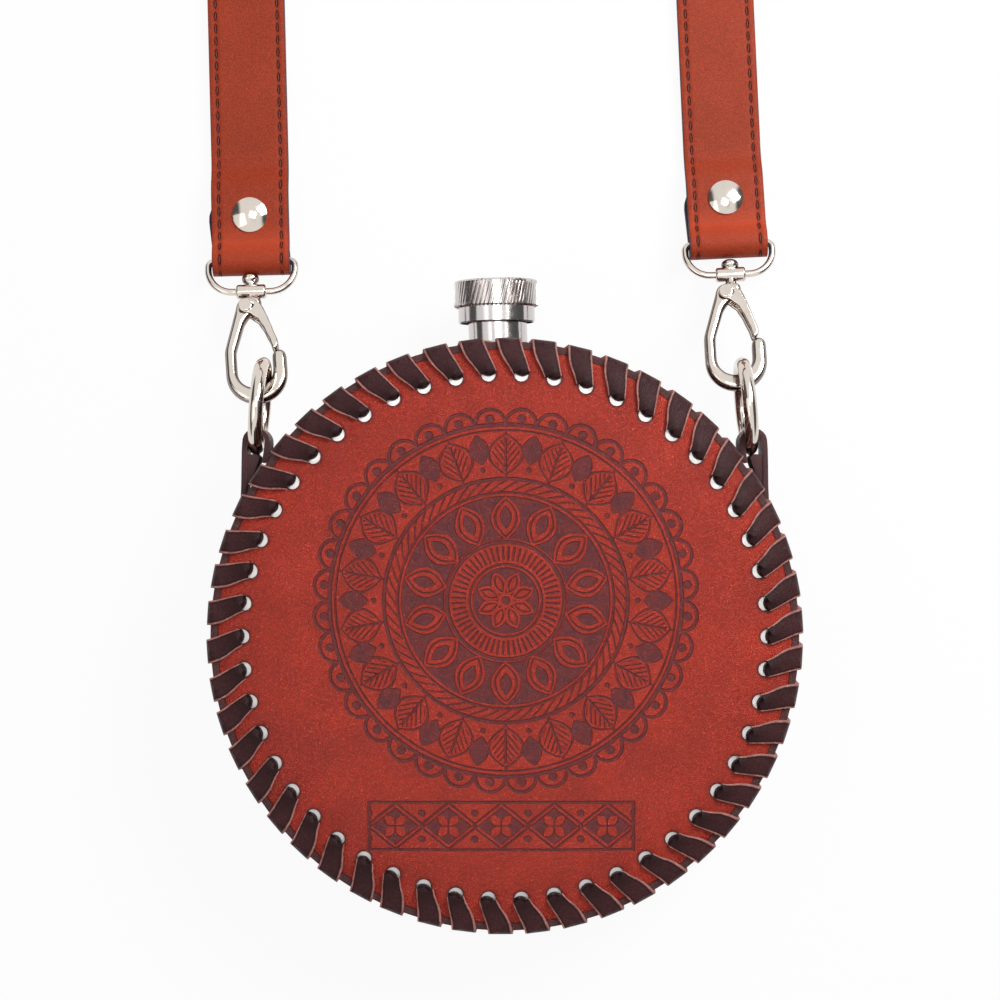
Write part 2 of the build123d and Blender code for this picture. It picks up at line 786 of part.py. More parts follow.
def gate_outline():
    """The gate lever's flat outline, tapering from its pin to its tip."""
    head = (-pin_offset, -pin_distance)
    tip = (gate_tip_offset, -(hook_nose_distance - hook_nose_width / 2 - gate_tip_gap - gate_tip_radius))
    spread = math.atan2(tip[1] - head[1], tip[0] - head[0])
    lean = math.acos((gate_head_radius - gate_tip_radius) / math.dist(head, tip))
    corners = []
    for centre, radius, turn in (
        (head, gate_head_radius, lean),
        (tip, gate_tip_radius, lean),
        (tip, gate_tip_radius, -lean),
        (head, gate_head_radius, -lean),
    ):
        angle = spread + turn
        corners.append((centre[0] + radius * math.cos(angle), centre[1] + radius * math.sin(angle)))
    outline = Face(Wire.make_polygon(corners)) + Pos(*head) * Circle(gate_head_radius)
    return outline + Pos(*tip) * Circle(gate_tip_radius)


def make_gate(side):
    """The gate: a channel whose cheeks straddle the hook's head and whose web closes the mouth."""
    inner_half = hook_thickness / 2 + gate_side_gap
    outer_half = inner_half + gate_cheek
    body = extrude(gate_outline(), outer_half, both=True)
    body -= Pos(-gate_web, 0, 0) * extrude(gate_outline(), inner_half, both=True)
    pin = Pos(-pin_offset, -pin_distance, 0)
    room = math.dist((pin_offset, pin_distance), (pin_offset + head_radius / 2, beak_distance))
    body -= pin * Cylinder(room, 2 * inner_half)
    body -= pin * Cylinder(gate_pin_diameter / 2 + gate_pin_clearance, 2 * outer_half + overrun)
    return hook_place(side) * body


def make_gate_pin(side):
    """The pin through the hook's head, domed at both ends."""
    cheek = hook_thickness / 2 + gate_side_gap + gate_cheek + gate_side_gap
    top = cheek + gate_pin_head_height
    head = rod(gate_pin_head_diameter / 2, cheek, top)
    head = fillet(head.edges().filter_by(GeomType.CIRCLE).sort_by(Axis.Z)[-1], gate_pin_head_height / 2)
    body = rod(gate_pin_diameter / 2, -cheek, cheek) + head + mirror(head, about=Plane.XY)
    return hook_place(side) * Pos(-pin_offset, -pin_distance, 0) * body


def make_gate_spring(side):
    """The small coil round the pin, in its pocket in the hook's head."""
    path = Helix(spring_pitch, spring_pitch * spring_turns, spring_radius)
    profile = Plane(origin=path @ 0, z_dir=path % 0) * Circle(spring_wire / 2)
    coil = sweep(profile, path=path, is_frenet=True)
    low = spring_pocket_floor - hook_thickness / 2 + spring_wire / 2
    return hook_place(side) * Pos(-pin_offset, -pin_distance, low) * coil


def make_side(ring_x, shift, tilt, lift, lean, drop, ahead, play):
    """One end of the strap: its clip slopes so that the hook's bar lies inside the ring."""
    side = {"loop_x": ring_x + shift, "tilt": tilt, "lift": lift, "lean": lean, "play": play}
    slope = math.asin((mid_height - drop - bar_height(side)) / hook_bar_distance)
    ring_middle_y = ring_hinge_y + (ring_diameter - ring_wire) / 2
    side["slope"] = math.degrees(slope)
    side["loop_y"] = ring_middle_y + ahead + hook_bar_distance * math.cos(slope)
    return side


left = make_side(
    left_ring_x,
    left_loop_shift,
    left_strap_tilt,
    left_strap_lift,
    left_hook_lean,
    left_bar_drop,
    left_bar_ahead,
    left_swivel_play,
)
right = make_side(
    right_ring_x,
    right_loop_shift,
    right_strap_tilt,
    right_strap_lift,
    right_hook_lean,
    right_bar_drop,
    right_bar_ahead,
    right_swivel_play,
)


def build_parts():
    """Every sub-part by name."""
    parts = {}
    parts["front_panel"] = make_panel()
    parts["back_panel"] = mirror(parts["front_panel"], about=Plane.XY.offset(mid_height))
    parts["right_tab"] = make_right_tab()
    parts["left_tab"] = mirror(parts["right_tab"], about=Plane.YZ)
    parts["gusset"] = make_gusset([parts["left_tab"], parts["right_tab"]])
    parts["lacing"] = make_lacing()
    parts["flask_front_shell"], parts["flask_back_shell"] = make_flask_shells()
    parts["neck"] = make_neck()
    parts["cap"] = make_cap()
    parts["cap_liner"] = make_liner()
    parts["left_ring"] = make_ring(left_ring_x, left_ring_lean)
    parts["right_ring"] = make_ring(right_ring_x, right_ring_lean)
    half = strap_thickness / 2
    split = half - face_thickness
    for name, side in (("left", left), ("right", right)):
        cut = rivet_cut(side)
        parts[f"{name}_strap_face"] = strap_end(side, split, half) - cut
        parts[f"{name}_strap_lining"] = strap_end(side, -half, split) - cut
        parts[f"{name}_strap_rivet_cap"] = make_rivet_cap(side)
        parts[f"{name}_strap_rivet_base"] = make_rivet_base(side)
        parts[f"{name}_swivel_loop"] = make_loop(side)
        parts[f"{name}_hook"] = make_hook(side)
        parts[f"{name}_gate"] = make_gate(side)
        parts[f"{name}_gate_pin"] = make_gate_pin(side)
        parts[f"{name}_gate_spring"] = make_gate_spring(side)
    parts["rolled_strap"] = make_rolled_strap(left, right)
    return parts


os.makedirs("parts", exist_ok=True)
for node, shape in build_parts().items():
    export_step(shape, f"parts/{node}.step")
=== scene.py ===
"""Dress a laced leather flask: jacket, lacing, screw cap, strap ends and snap hooks."""

import json
import math
import random

import bmesh
import bpy
from mathutils import Matrix, Vector


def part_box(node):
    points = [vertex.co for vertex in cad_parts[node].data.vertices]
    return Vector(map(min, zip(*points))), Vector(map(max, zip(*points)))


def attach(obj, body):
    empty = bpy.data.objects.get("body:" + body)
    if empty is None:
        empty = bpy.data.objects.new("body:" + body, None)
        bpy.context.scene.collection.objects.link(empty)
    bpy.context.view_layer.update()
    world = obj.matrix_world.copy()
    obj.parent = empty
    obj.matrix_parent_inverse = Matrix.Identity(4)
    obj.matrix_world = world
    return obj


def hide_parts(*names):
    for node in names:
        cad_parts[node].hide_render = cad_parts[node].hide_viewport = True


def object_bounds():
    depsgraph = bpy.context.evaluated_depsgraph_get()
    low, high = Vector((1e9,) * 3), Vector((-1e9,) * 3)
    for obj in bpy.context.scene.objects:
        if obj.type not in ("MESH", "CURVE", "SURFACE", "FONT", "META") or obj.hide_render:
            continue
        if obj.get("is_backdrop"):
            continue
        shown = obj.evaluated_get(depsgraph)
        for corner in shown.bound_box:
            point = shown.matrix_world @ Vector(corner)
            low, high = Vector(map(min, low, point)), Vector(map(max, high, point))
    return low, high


bl_info = {
    "name": "Laced Leather Flask",
    "version": (1, 0, 0),
    "blender": (4, 5, 0),
    "location": "View3D > Sidebar > Flask",
    "description": "Models the leather, lacing, cap and hardware of a round flask",
    "category": "Object",
}

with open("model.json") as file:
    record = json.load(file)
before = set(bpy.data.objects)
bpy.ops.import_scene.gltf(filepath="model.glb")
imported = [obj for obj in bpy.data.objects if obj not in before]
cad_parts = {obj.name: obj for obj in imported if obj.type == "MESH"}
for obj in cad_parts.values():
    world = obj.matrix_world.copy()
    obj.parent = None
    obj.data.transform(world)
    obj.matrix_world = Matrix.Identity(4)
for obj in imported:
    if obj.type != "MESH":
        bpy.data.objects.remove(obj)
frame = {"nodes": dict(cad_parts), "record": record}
CAD_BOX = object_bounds()

MM = 0.001
MERGE = 0.01 * MM
FINE_MERGE = 0.001 * MM
ROUND_STEPS = 200


def length(name, default, description):
    """A length property, in metres."""
    return bpy.props.FloatProperty(
        name=name, description=description, default=default, unit="LENGTH", precision=5
    )


def degrees(name, default, description):
    """An angle property, given in degrees and kept in radians."""
    return bpy.props.FloatProperty(
        name=name, description=description, default=math.radians(default), subtype="ANGLE"
    )


def colour(name, red, green, blue, description):
    """A colour property, given as display values from 0 to 255 and kept as linear light."""
    linear = [((part / 255 + 0.055) / 1.055) ** 2.4 for part in (red, green, blue)]
    return bpy.props.FloatVectorProperty(
        name=name, description=description, default=linear, subtype="COLOR", size=3, min=0, max=1
    )


class JacketSizes(bpy.types.PropertyGroup):
    """Sizes of the two panels, the gusset and the lacing."""

    panel_radius: length("Panel radius", 0.0709, "Outer radius of a panel")
    flat_radius: length("Flat radius", 0.046, "Radius of a panel's flat middle")
    drop: length("Drop", 0.004, "How far a panel's rim lies below its middle")
    thickness: length("Panel thickness", 0.0026, "Thickness of the panel leather")
    depth: length("Jacket depth", 0.043, "Depth of the jacket over both panels")
    gusset_thickness: length("Gusset thickness", 0.0018, "Thickness of the gusset leather")
    hole_count: bpy.props.IntProperty(
        name="Holes", description="Lacing holes round a panel", default=50, min=3
    )
    hole_diameter: length("Hole diameter", 0.0036, "Diameter of a lacing hole")
    hole_circle: length("Hole circle", 0.0647, "Radius of the circle through the lacing holes")
    first_hole: degrees("First hole", 93.6, "Angle of the first lacing hole")
    lace_thickness: length("Lace thickness", 0.0011, "Thickness of the lace")
    neck_hole: length("Neck hole", 0.00775, "Radius of the hole for the neck in gusset and lacing")
    hole_floor: length("Hole floor", 0.0023, "Depth of the steel that shows through a lacing hole")
    tab_width: length("Tab width", 0.011, "Width of a ring tab")
    tab_thickness: length("Tab thickness", 0.0014, "Thickness of a ring tab")


class StrapSizes(bpy.types.PropertyGroup):
    """Sizes of the shoulder strap and its stitching."""

    width: length("Strap width", 0.02, "Width of the strap")
    face: length("Face thickness", 0.0018, "Thickness of the face leather")
    lining: length("Lining thickness", 0.001, "Thickness of the lining")
    tail: length("Tail", 0.0166, "Length of the tail folded back under the strap")
    tail_corner: length("Tail corner", 0.006, "Corner radius at the tail's end")
    tail_bend: length("Tail bend", 0.005, "Radius of the bend down on to the tail")
    step_bend: length("Step bend", 0.009, "Radius of the bend past the tail's end down to the table")
    run: length("Run", 0.072, "Length of a strap end before the roll begins")
    twist: length("Twist", 0.044, "Length over which the strap turns on to its edge")
    roll_radius: length("Roll radius", 0.037, "Radius of the roll's outer turn")
    roll_gap: length("Roll gap", 0.0005, "Gap between two turns of the roll")
    roll_bend: length("Roll bend", 0.022, "Radius of the bend from the roll to the right end")
    stitch_inset: length("Stitch inset", 0.00195, "Distance of a stitch row from the strap's edge")
    stitch_pitch: length("Stitch pitch", 0.00325, "Distance from stitch to stitch")
    stitch_length: length("Stitch length", 0.0021, "Length of the thread that shows in a stitch")
    thread: length("Thread", 0.0005, "Diameter of the thread")


class CapSizes(bpy.types.PropertyGroup):
    """Sizes of the screw cap, measured along the neck's axis."""

    head_radius: length("Head radius", 0.01075, "Radius over the knurled ridges")
    skirt_radius: length("Skirt radius", 0.0097, "Radius of the plain skirt")
    bore_radius: length("Bore radius", 0.0093, "Radius inside the skirt")
    top: length("Top", 0.08925, "Height of the cap's top above the flask's centre")
    head_height: length("Head height", 0.0069, "Height of the knurled head")
    skirt_height: length("Skirt height", 0.0038, "Height of the plain skirt")
    chamfer: length("Chamfer", 0.0008, "Chamfer at the head's two ends")
    top_wall: length("Top wall", 0.0016, "Thickness of the cap's top")
    pitch: length("Thread pitch", 0.003, "Rise of the inner thread over one turn")
    ridges: bpy.props.IntProperty(
        name="Ridges", description="Ridges round the head", default=60, min=12
    )
    groove: length("Groove", 0.00065, "Depth of the grooves between the ridges")
    slant: degrees("Slant", 9.0, "Turn of a ridge over the head's height")


class Finishes(bpy.types.PropertyGroup):
    """Colours of the leathers, threads and metals."""

    panel: colour("Panel", 201, 58, 38, "Red-brown grain leather of the panels")
    pressed: colour("Pressed", 98, 42, 46, "Burnt colour of the tooled ornament")
    gusset: colour("Gusset", 92, 54, 54, "Brown leather of the gusset")
    lace: colour("Lace", 70, 38, 40, "Dark grain side of the lace and tabs")
    lace_edge: colour("Lace edge", 178, 124, 116, "Raw cut edge of the lace")
    strap: colour("Strap", 174, 65, 38, "Orange-brown face leather of the strap")
    lining: colour("Lining", 72, 58, 78, "Dark lining of the strap")
    thread: colour("Thread", 74, 24, 20, "Sewing thread of the strap")
    nickel: colour("Nickel", 224, 214, 204, "Polished nickel of the clips and rings")
    # Painted shade: brown laid on the castings' sides where they turn edge-on.
    side_shade: colour("Side_shade", 96, 72, 66, "Brown shade on the sides of the castings")
    steel: colour("Steel", 214, 208, 206, "Turned steel of the cap, neck and flask")
    rubber: colour("Rubber", 46, 44, 46, "Sealing disc in the cap")


class StudioSizes(bpy.types.PropertyGroup):
    """Places of the camera, lamps and floor."""

    camera_x: length("Camera X", -0.0012, "Sideways place of the camera")
    camera_y: length("Camera Y", 0.0336, "Place of the camera along the flask")
    camera_height: length("Camera height", 0.65, "Height of the camera above the floor")
    lens: bpy.props.FloatProperty(
        name="Lens", description="Focal length of the camera, in millimetres", default=89.15
    )
    floor_size: length("Floor size", 6.0, "Side of the floor")


class Track:
    """A place that goes on in steps: its X runs ahead, its Y to the left, its Z across."""

    def __init__(self, place):
        self.place = place.copy()
        self.travelled = 0.0

    def steps_ahead(self, distance, count):
        """The places along a straight run."""
        step = Matrix.Translation((distance / count, 0, 0))
        for _ in range(count):
            self.place = self.place @ step
            self.travelled += distance / count
            yield self.place.copy()

    def steps_round(self, radius, angle, count):
        """The places round a turn, to the left for a positive angle in degrees."""
        side = 1 if angle > 0 else -1
        turn = math.radians(angle / count)
        out = Matrix.Translation((0, radius * side, 0))
        step = out @ Matrix.Rotation(turn, 4, "Z") @ out.inverted()
        for _ in range(count):
            self.place = self.place @ step
            self.travelled += radius * abs(turn)
            yield self.place.copy()


class Ribbon:
    """A row of vertices carried along a track, which leaves a strip of leather behind it."""

    def __init__(self, place, width, columns, shift=0.0):
        self.mesh = bmesh.new()
        self.across = self.mesh.verts.layers.float.new("across")
        self.along = self.mesh.verts.layers.float.new("along")
        self.track = Track(place)
        self.places = [(0.0, place.copy())]
        row = []
        for column in range(columns + 1):
            share = 2 * column / columns - 1
            vertex = self.mesh.verts.new(place @ Vector((0, shift, share * width / 2)))
            vertex[self.across] = share
            row.append(vertex)
        self.edges = [self.mesh.edges.new(pair) for pair in zip(row, row[1:])]
        self.row_place = place.copy()

    def carry(self, place, widen=1.0):
        """Extrude the row to a place, where it may grow wider or narrower."""
        made = bmesh.ops.extrude_edge_only(self.mesh, edges=self.edges)["geom"]
        row = vertices_in(made)
        self.edges = edges_between(made, row)
        grow = Matrix.Diagonal((1, 1, widen, 1))
        bmesh.ops.transform(self.mesh, matrix=place @ grow @ self.row_place.inverted(), verts=row)
        for vertex in row:
            vertex[self.along] = self.track.travelled / MM
        self.row_place = place.copy()
        self.places.append((self.track.travelled, place.copy()))
        return row

    def follow(self, place, widen=1.0):
        """Extrude the row to a place, and count the straight way there."""
        self.track.travelled += (place.translation - self.row_place.translation).length
        return self.carry(place, widen)

    def run(self, distance, count=1):
        """Go straight on."""
        for place in self.track.steps_ahead(distance, count):
            self.carry(place)

    def turn(self, radius, angle, count):
        """Go round a bend."""
        for place in self.track.steps_round(radius, angle, count):
            self.carry(place)

    def place_at(self, distance):
        """The place a distance along the ribbon."""
        for (start, before), (end, after) in zip(self.places, self.places[1:]):
            if distance <= end:
                return before.lerp(after, (distance - start) / max(end - start, MM * MM))
        return self.places[-1][1]


def vertices_in(made):
    """The vertices among what a bmesh operator made."""
    return [part for part in made if isinstance(part, bmesh.types.BMVert)]


def edges_between(made, vertices):
    """The edges among what was made that run between two of the vertices."""
    edges = [part for part in made if isinstance(part, bmesh.types.BMEdge)]
    ends = set(vertices)
    return [edge for edge in edges if ends.issuperset(edge.verts)]


def linked(name, mesh, materials):
    """A new object with its materials, in the scene."""
    piece = bpy.data.objects.new(name, mesh)
    bpy.context.scene.collection.objects.link(piece)
    for material in materials:
        mesh.materials.append(material)
    return piece


def section_line(body, section, closed=False):
    """Vertices at radii and heights, joined by edges, in the plane of X and Z."""
    points = [body.verts.new((radius, 0, height)) for radius, height in section]
    for index in range(0 if closed else 1, len(points)):
        body.edges.new((points[index - 1], points[index]))
    return points


def spun(body, steps, merge=MERGE):
    """Spin all that a bmesh holds a full turn about Z, and merge the seam."""
    bmesh.ops.spin(
        body, geom=list(body.verts) + list(body.edges), cent=(0, 0, 0), axis=(0, 0, 1), angle=math.tau,
        steps=steps, use_merge=True, use_duplicate=False,
    )
    bmesh.ops.remove_doubles(body, verts=body.verts, dist=merge)


def modelled(name, body, materials, sharp=40, turn_out=True):
    """Finish a bmesh as a smooth piece with sharp edges kept."""
    if turn_out:
        bmesh.ops.recalc_face_normals(body, faces=body.faces)
    for face in body.faces:
        face.smooth = True
    mesh = bpy.data.meshes.new(name)
    body.to_mesh(mesh)
    body.free()
    mesh.set_sharp_from_angle(angle=math.radians(sharp))
    return linked(name, mesh, materials)


def settled(piece, sharp=40):
    """Apply every modifier of a piece."""
    graph = bpy.context.evaluated_depsgraph_get()
    mesh = bpy.data.meshes.new_from_object(piece.evaluated_get(graph))
    piece.modifiers.clear()
    piece.data = mesh
    for face in mesh.polygons:
        face.use_smooth = True
    mesh.set_sharp_from_angle(angle=math.radians(sharp))
    return piece


def cut_away(piece, cutter):
    """Take a cutter's shape out of a piece, and delete the cutter."""
    change = piece.modifiers.new("cut", "BOOLEAN")
    change.operation = "DIFFERENCE"
    change.object = cutter
    change.solver = "EXACT"
    settled(piece)
    bpy.data.objects.remove(cutter)


def thickened(piece, thickness, offset, bevel, levels=0, rim=1):
    """Give a strip its thickness, rounded edges and, on soft pieces, smooth faces."""
    wall = piece.modifiers.new("wall", "SOLIDIFY")
    wall.thickness = thickness
    wall.offset = offset
    wall.use_even_offset = True
    wall.material_offset_rim = rim
    edge = piece.modifiers.new("edge", "BEVEL")
    edge.width = bevel
    edge.segments = 2
    edge.limit_method = "ANGLE"
    edge.angle_limit = math.radians(50)
    if levels:
        smooth = piece.modifiers.new("smooth", "SUBSURF")
        smooth.levels = levels
        smooth.render_levels = levels
    return settled(piece, 60)


def placed(piece, body, nodes=()):
    """Hang a finished piece on its body, in place of the plain solids it stands for."""
    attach(piece, body)
    if nodes:
        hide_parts(*nodes)
    return piece


def neck_place(jacket):
    """The neck's axis: its Z runs from the flask's centre out through the mouth."""
    low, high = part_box("neck")
    cap_low, cap_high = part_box("cap")
    middle = (low + high) / 2
    cap_middle = (cap_low + cap_high) / 2
    axis = (cap_middle - middle).normalized()
    start = middle - axis * (middle.y / axis.y)
    turn = Vector((0, 0, 1)).rotation_difference(axis)
    return Matrix.Translation((start.x, start.y, jacket.depth / 2)) @ turn.to_matrix().to_4x4()


class Signal:
    """A value inside a node tree that can be added, multiplied and compared in plain sums."""

    def __init__(self, tree, socket):
        self.tree = tree
        self.socket = socket

    def joined(self, operation, *others):
        """A Math node that takes this value first."""
        node = self.tree.nodes.new("ShaderNodeMath")
        node.operation = operation
        for place, value in enumerate((self, *others)):
            if isinstance(value, Signal):
                self.tree.links.new(value.socket, node.inputs[place])
            else:
                node.inputs[place].default_value = value
        return Signal(self.tree, node.outputs[0])

    def __add__(self, other):
        return self.joined("ADD", other)

    def __sub__(self, other):
        return self.joined("SUBTRACT", other)

    def __mul__(self, other):
        return self.joined("MULTIPLY", other)

    def __truediv__(self, other):
        return self.joined("DIVIDE", other)

    def size(self):
        """The value without its sign."""
        return self.joined("ABSOLUTE")

    def part(self):
        """What stands after the value's decimal point."""
        return self.joined("FRACT")

    def flipped(self):
        """One minus the value."""
        return (self * -1) + 1

    def between(self):
        """The value held from 0 to 1."""
        return self.joined("MAXIMUM", 0.0).joined("MINIMUM", 1.0)

    def inside(self, soft):
        """1 where the value is below 0, 0 above, with a soft step."""
        return (self * (-1 / soft) + 0.5).between()

    def stroke(self, width, soft):
        """1 along the value's zero line, as wide as asked."""
        return (self.size() - width / 2).inside(soft)


def hypot(x, y):
    """The distance made by two sides."""
    return (x * x + y * y).joined("POWER", 0.5)


def strongest(*signals):
    """The highest of several values."""
    top = signals[0]
    for signal in signals[1:]:
        top = top.joined("MAXIMUM", signal)
    return top


def added(tree, kind, **settings):
    """A new node with its settings."""
    node = tree.nodes.new(kind)
    for name, value in settings.items():
        setattr(node, name, value)
    return node


def wired(tree, node, **inputs):
    """Set or join a node's inputs, named with _ for a space."""
    for name, value in inputs.items():
        socket = node.inputs[name.replace("_", " ")]
        if isinstance(value, Signal):
            tree.links.new(value.socket, socket)
        elif isinstance(value, bpy.types.NodeSocket):
            tree.links.new(value, socket)
        else:
            socket.default_value = value
    return node


def flat_parts(tree, vector):
    """The X and the Y of a vector."""
    parts = added(tree, "ShaderNodeSeparateXYZ")
    tree.links.new(vector, parts.inputs[0])
    return [Signal(tree, parts.outputs[axis]) for axis in "XY"]


def surface_value(tree, name):
    """A value that a piece's own mesh carries at each vertex."""
    node = added(tree, "ShaderNodeAttribute", attribute_name=name)
    return Signal(tree, node.outputs["Fac"])


def new_group(name, inputs, outputs):
    """An empty shader group with value inputs and outputs, and a vector called Place."""
    group = bpy.data.node_groups.new(name, "ShaderNodeTree")
    group.interface.new_socket("Place", in_out="INPUT", socket_type="NodeSocketVector")
    for socket, default in inputs:
        made = group.interface.new_socket(socket, in_out="INPUT", socket_type="NodeSocketFloat")
        made.default_value = default
    for socket in outputs:
        group.interface.new_socket(socket, in_out="OUTPUT", socket_type="NodeSocketFloat")
    return group, group.nodes.new("NodeGroupInput"), group.nodes.new("NodeGroupOutput")


def shared(name, maker):
    """A group made once and used by every material that asks for it."""
    return bpy.data.node_groups.get(name) or maker(name)


def noise(tree, place, scale, detail, rough):
    """A noise texture's value."""
    node = added(tree, "ShaderNodeTexNoise")
    wired(tree, node, Vector=place, Scale=scale, Detail=detail, Roughness=rough)
    return Signal(tree, node.outputs["Fac"])


def ranged(tree, value, low, high, start, end):
    """A value stretched from one range to another, and held inside it."""
    node = added(tree, "ShaderNodeMapRange", interpolation_type="SMOOTHSTEP")
    tree.links.new(value.socket, node.inputs[0])
    for place, number in enumerate((low, high, start, end), 1):
        node.inputs[place].default_value = number
    return Signal(tree, node.outputs[0])


def grain_group(name):
    """Pebbled grain of full leather in millimetres: its height, its pores and its slow mottle."""
    group, start, end = new_group(name, [("Grain", 0.55)], ["Height", "Pores", "Mottle"])
    place = start.outputs["Place"]
    grain = Signal(group, start.outputs["Grain"])
    cells = added(group, "ShaderNodeTexVoronoi", feature="DISTANCE_TO_EDGE")
    bent = added(group, "ShaderNodeVectorMath", operation="ADD")
    ripple = added(group, "ShaderNodeTexNoise")
    wired(group, ripple, Vector=place, Scale=0.9, Detail=2.0)
    group.links.new(place, bent.inputs[0])
    group.links.new(ripple.outputs["Color"], bent.inputs[1])
    frequency = grain.joined("POWER", -1.0)
    wired(group, cells, Vector=bent.outputs[0], Scale=frequency, Randomness=1.0)
    pebble = ranged(group, Signal(group, cells.outputs["Distance"]), 0.0, 0.28, 0.0, 1.0)
    fine = noise(group, place, scale=3.2, detail=3.0, rough=0.6)
    slow = noise(group, place, scale=0.09, detail=4.0, rough=0.55)
    height = pebble * 0.5 + fine * 0.5
    group.links.new(height.socket, end.inputs["Height"])
    group.links.new((pebble * fine).socket, end.inputs["Pores"])
    group.links.new(slow.socket, end.inputs["Mottle"])
    return group


def millimetres(tree):
    """Object coordinates counted in millimetres."""
    source = added(tree, "ShaderNodeTexCoord")
    scaled = added(tree, "ShaderNodeVectorMath", operation="SCALE")
    tree.links.new(source.outputs["Object"], scaled.inputs[0])
    scaled.inputs["Scale"].default_value = 1 / MM
    return scaled.outputs[0]


def new_material(name):
    """A node material with an empty principled shader."""
    material = bpy.data.materials.new(name)
    material.use_nodes = True
    tree = material.node_tree
    return material, tree, tree.nodes["Principled BSDF"]


def shaded(tree, start, end, factor):
    """A colour between two colours."""
    node = added(tree, "ShaderNodeMix", data_type="RGBA", clamp_factor=True)
    tree.links.new(factor.socket, node.inputs[0])
    for socket, value in ((node.inputs[6], start), (node.inputs[7], end)):
        if isinstance(value, bpy.types.NodeSocket):
            tree.links.new(value, socket)
        else:
            socket.default_value = (*value, 1)
    return node.outputs[2]


def bumped(tree, height, depth, under=None):
    """A bump whose full height is a depth in metres."""
    node = added(tree, "ShaderNodeBump")
    node.inputs["Distance"].default_value = depth
    node.inputs["Strength"].default_value = 1.0
    tree.links.new(height.socket, node.inputs["Height"])
    if under:
        tree.links.new(under, node.inputs["Normal"])
    return node.outputs["Normal"]


def grained(tree, place, grain):
    """The grain group's three values."""
    node = added(tree, "ShaderNodeGroup", node_tree=shared("leather grain", grain_group))
    tree.links.new(place, node.inputs["Place"])
    node.inputs["Grain"].default_value = grain
    return [Signal(tree, node.outputs[name]) for name in ("Height", "Pores", "Mottle")]


def scaled_colour(base, factor):
    """A colour made lighter or darker."""
    return tuple(min(part * factor, 1.0) for part in base)


def leather(name, base, grain, depth, rough, contrast, specular=0.3):
    """Leather with pores and a mottle; returns the nodes that more can be laid on."""
    material, tree, shader = new_material(name)
    place = millimetres(tree)
    height, pores, mottle = grained(tree, place, grain)
    light = scaled_colour(base, 1 + contrast)
    dark = scaled_colour(base, 1 - contrast)
    grit = noise(tree, place, scale=1.4, detail=4.0, rough=0.7)
    tone = ranged(tree, mottle * 0.4 + grit * 0.6, 0.37, 0.63, 0.0, 1.0)
    body = shaded(tree, dark, light, tone)
    speckle = ranged(tree, pores, 0.12, 0.5, 0.0, 1.0)
    skin = shaded(tree, scaled_colour(base, 0.5), body, speckle * 0.7 + 0.3)
    roughness = ranged(tree, height, 0.2, 0.8, rough + 0.1, rough - 0.08)
    normal = bumped(tree, height, depth)
    wired(tree, shader, Base_Color=skin, Roughness=roughness, Normal=normal)
    wired(tree, shader, Specular_IOR_Level=specular)
    return material, tree, shader, place, skin, normal


# Over how many millimetres the edge of a pressed mark fades.
SOFT_EDGE = 0.22


def sector(radius, turn, count, offset=0.0):
    """Distances outward and sideways from the middle line of one of many equal sectors."""
    share = (turn * (count / math.tau) + offset).part() - 0.5
    angle = share * (math.tau / count)
    return radius * angle.joined("COSINE"), radius * angle.joined("SINE")


def petal(outward, sideways, start, end, half_width, margin):
    """Below 0 inside a pointed petal that reaches from start to end."""
    share = ((outward - start) / (end - start)).between()
    bulge = share * share.flipped() * (4 * half_width)
    return sideways.size() + margin - bulge


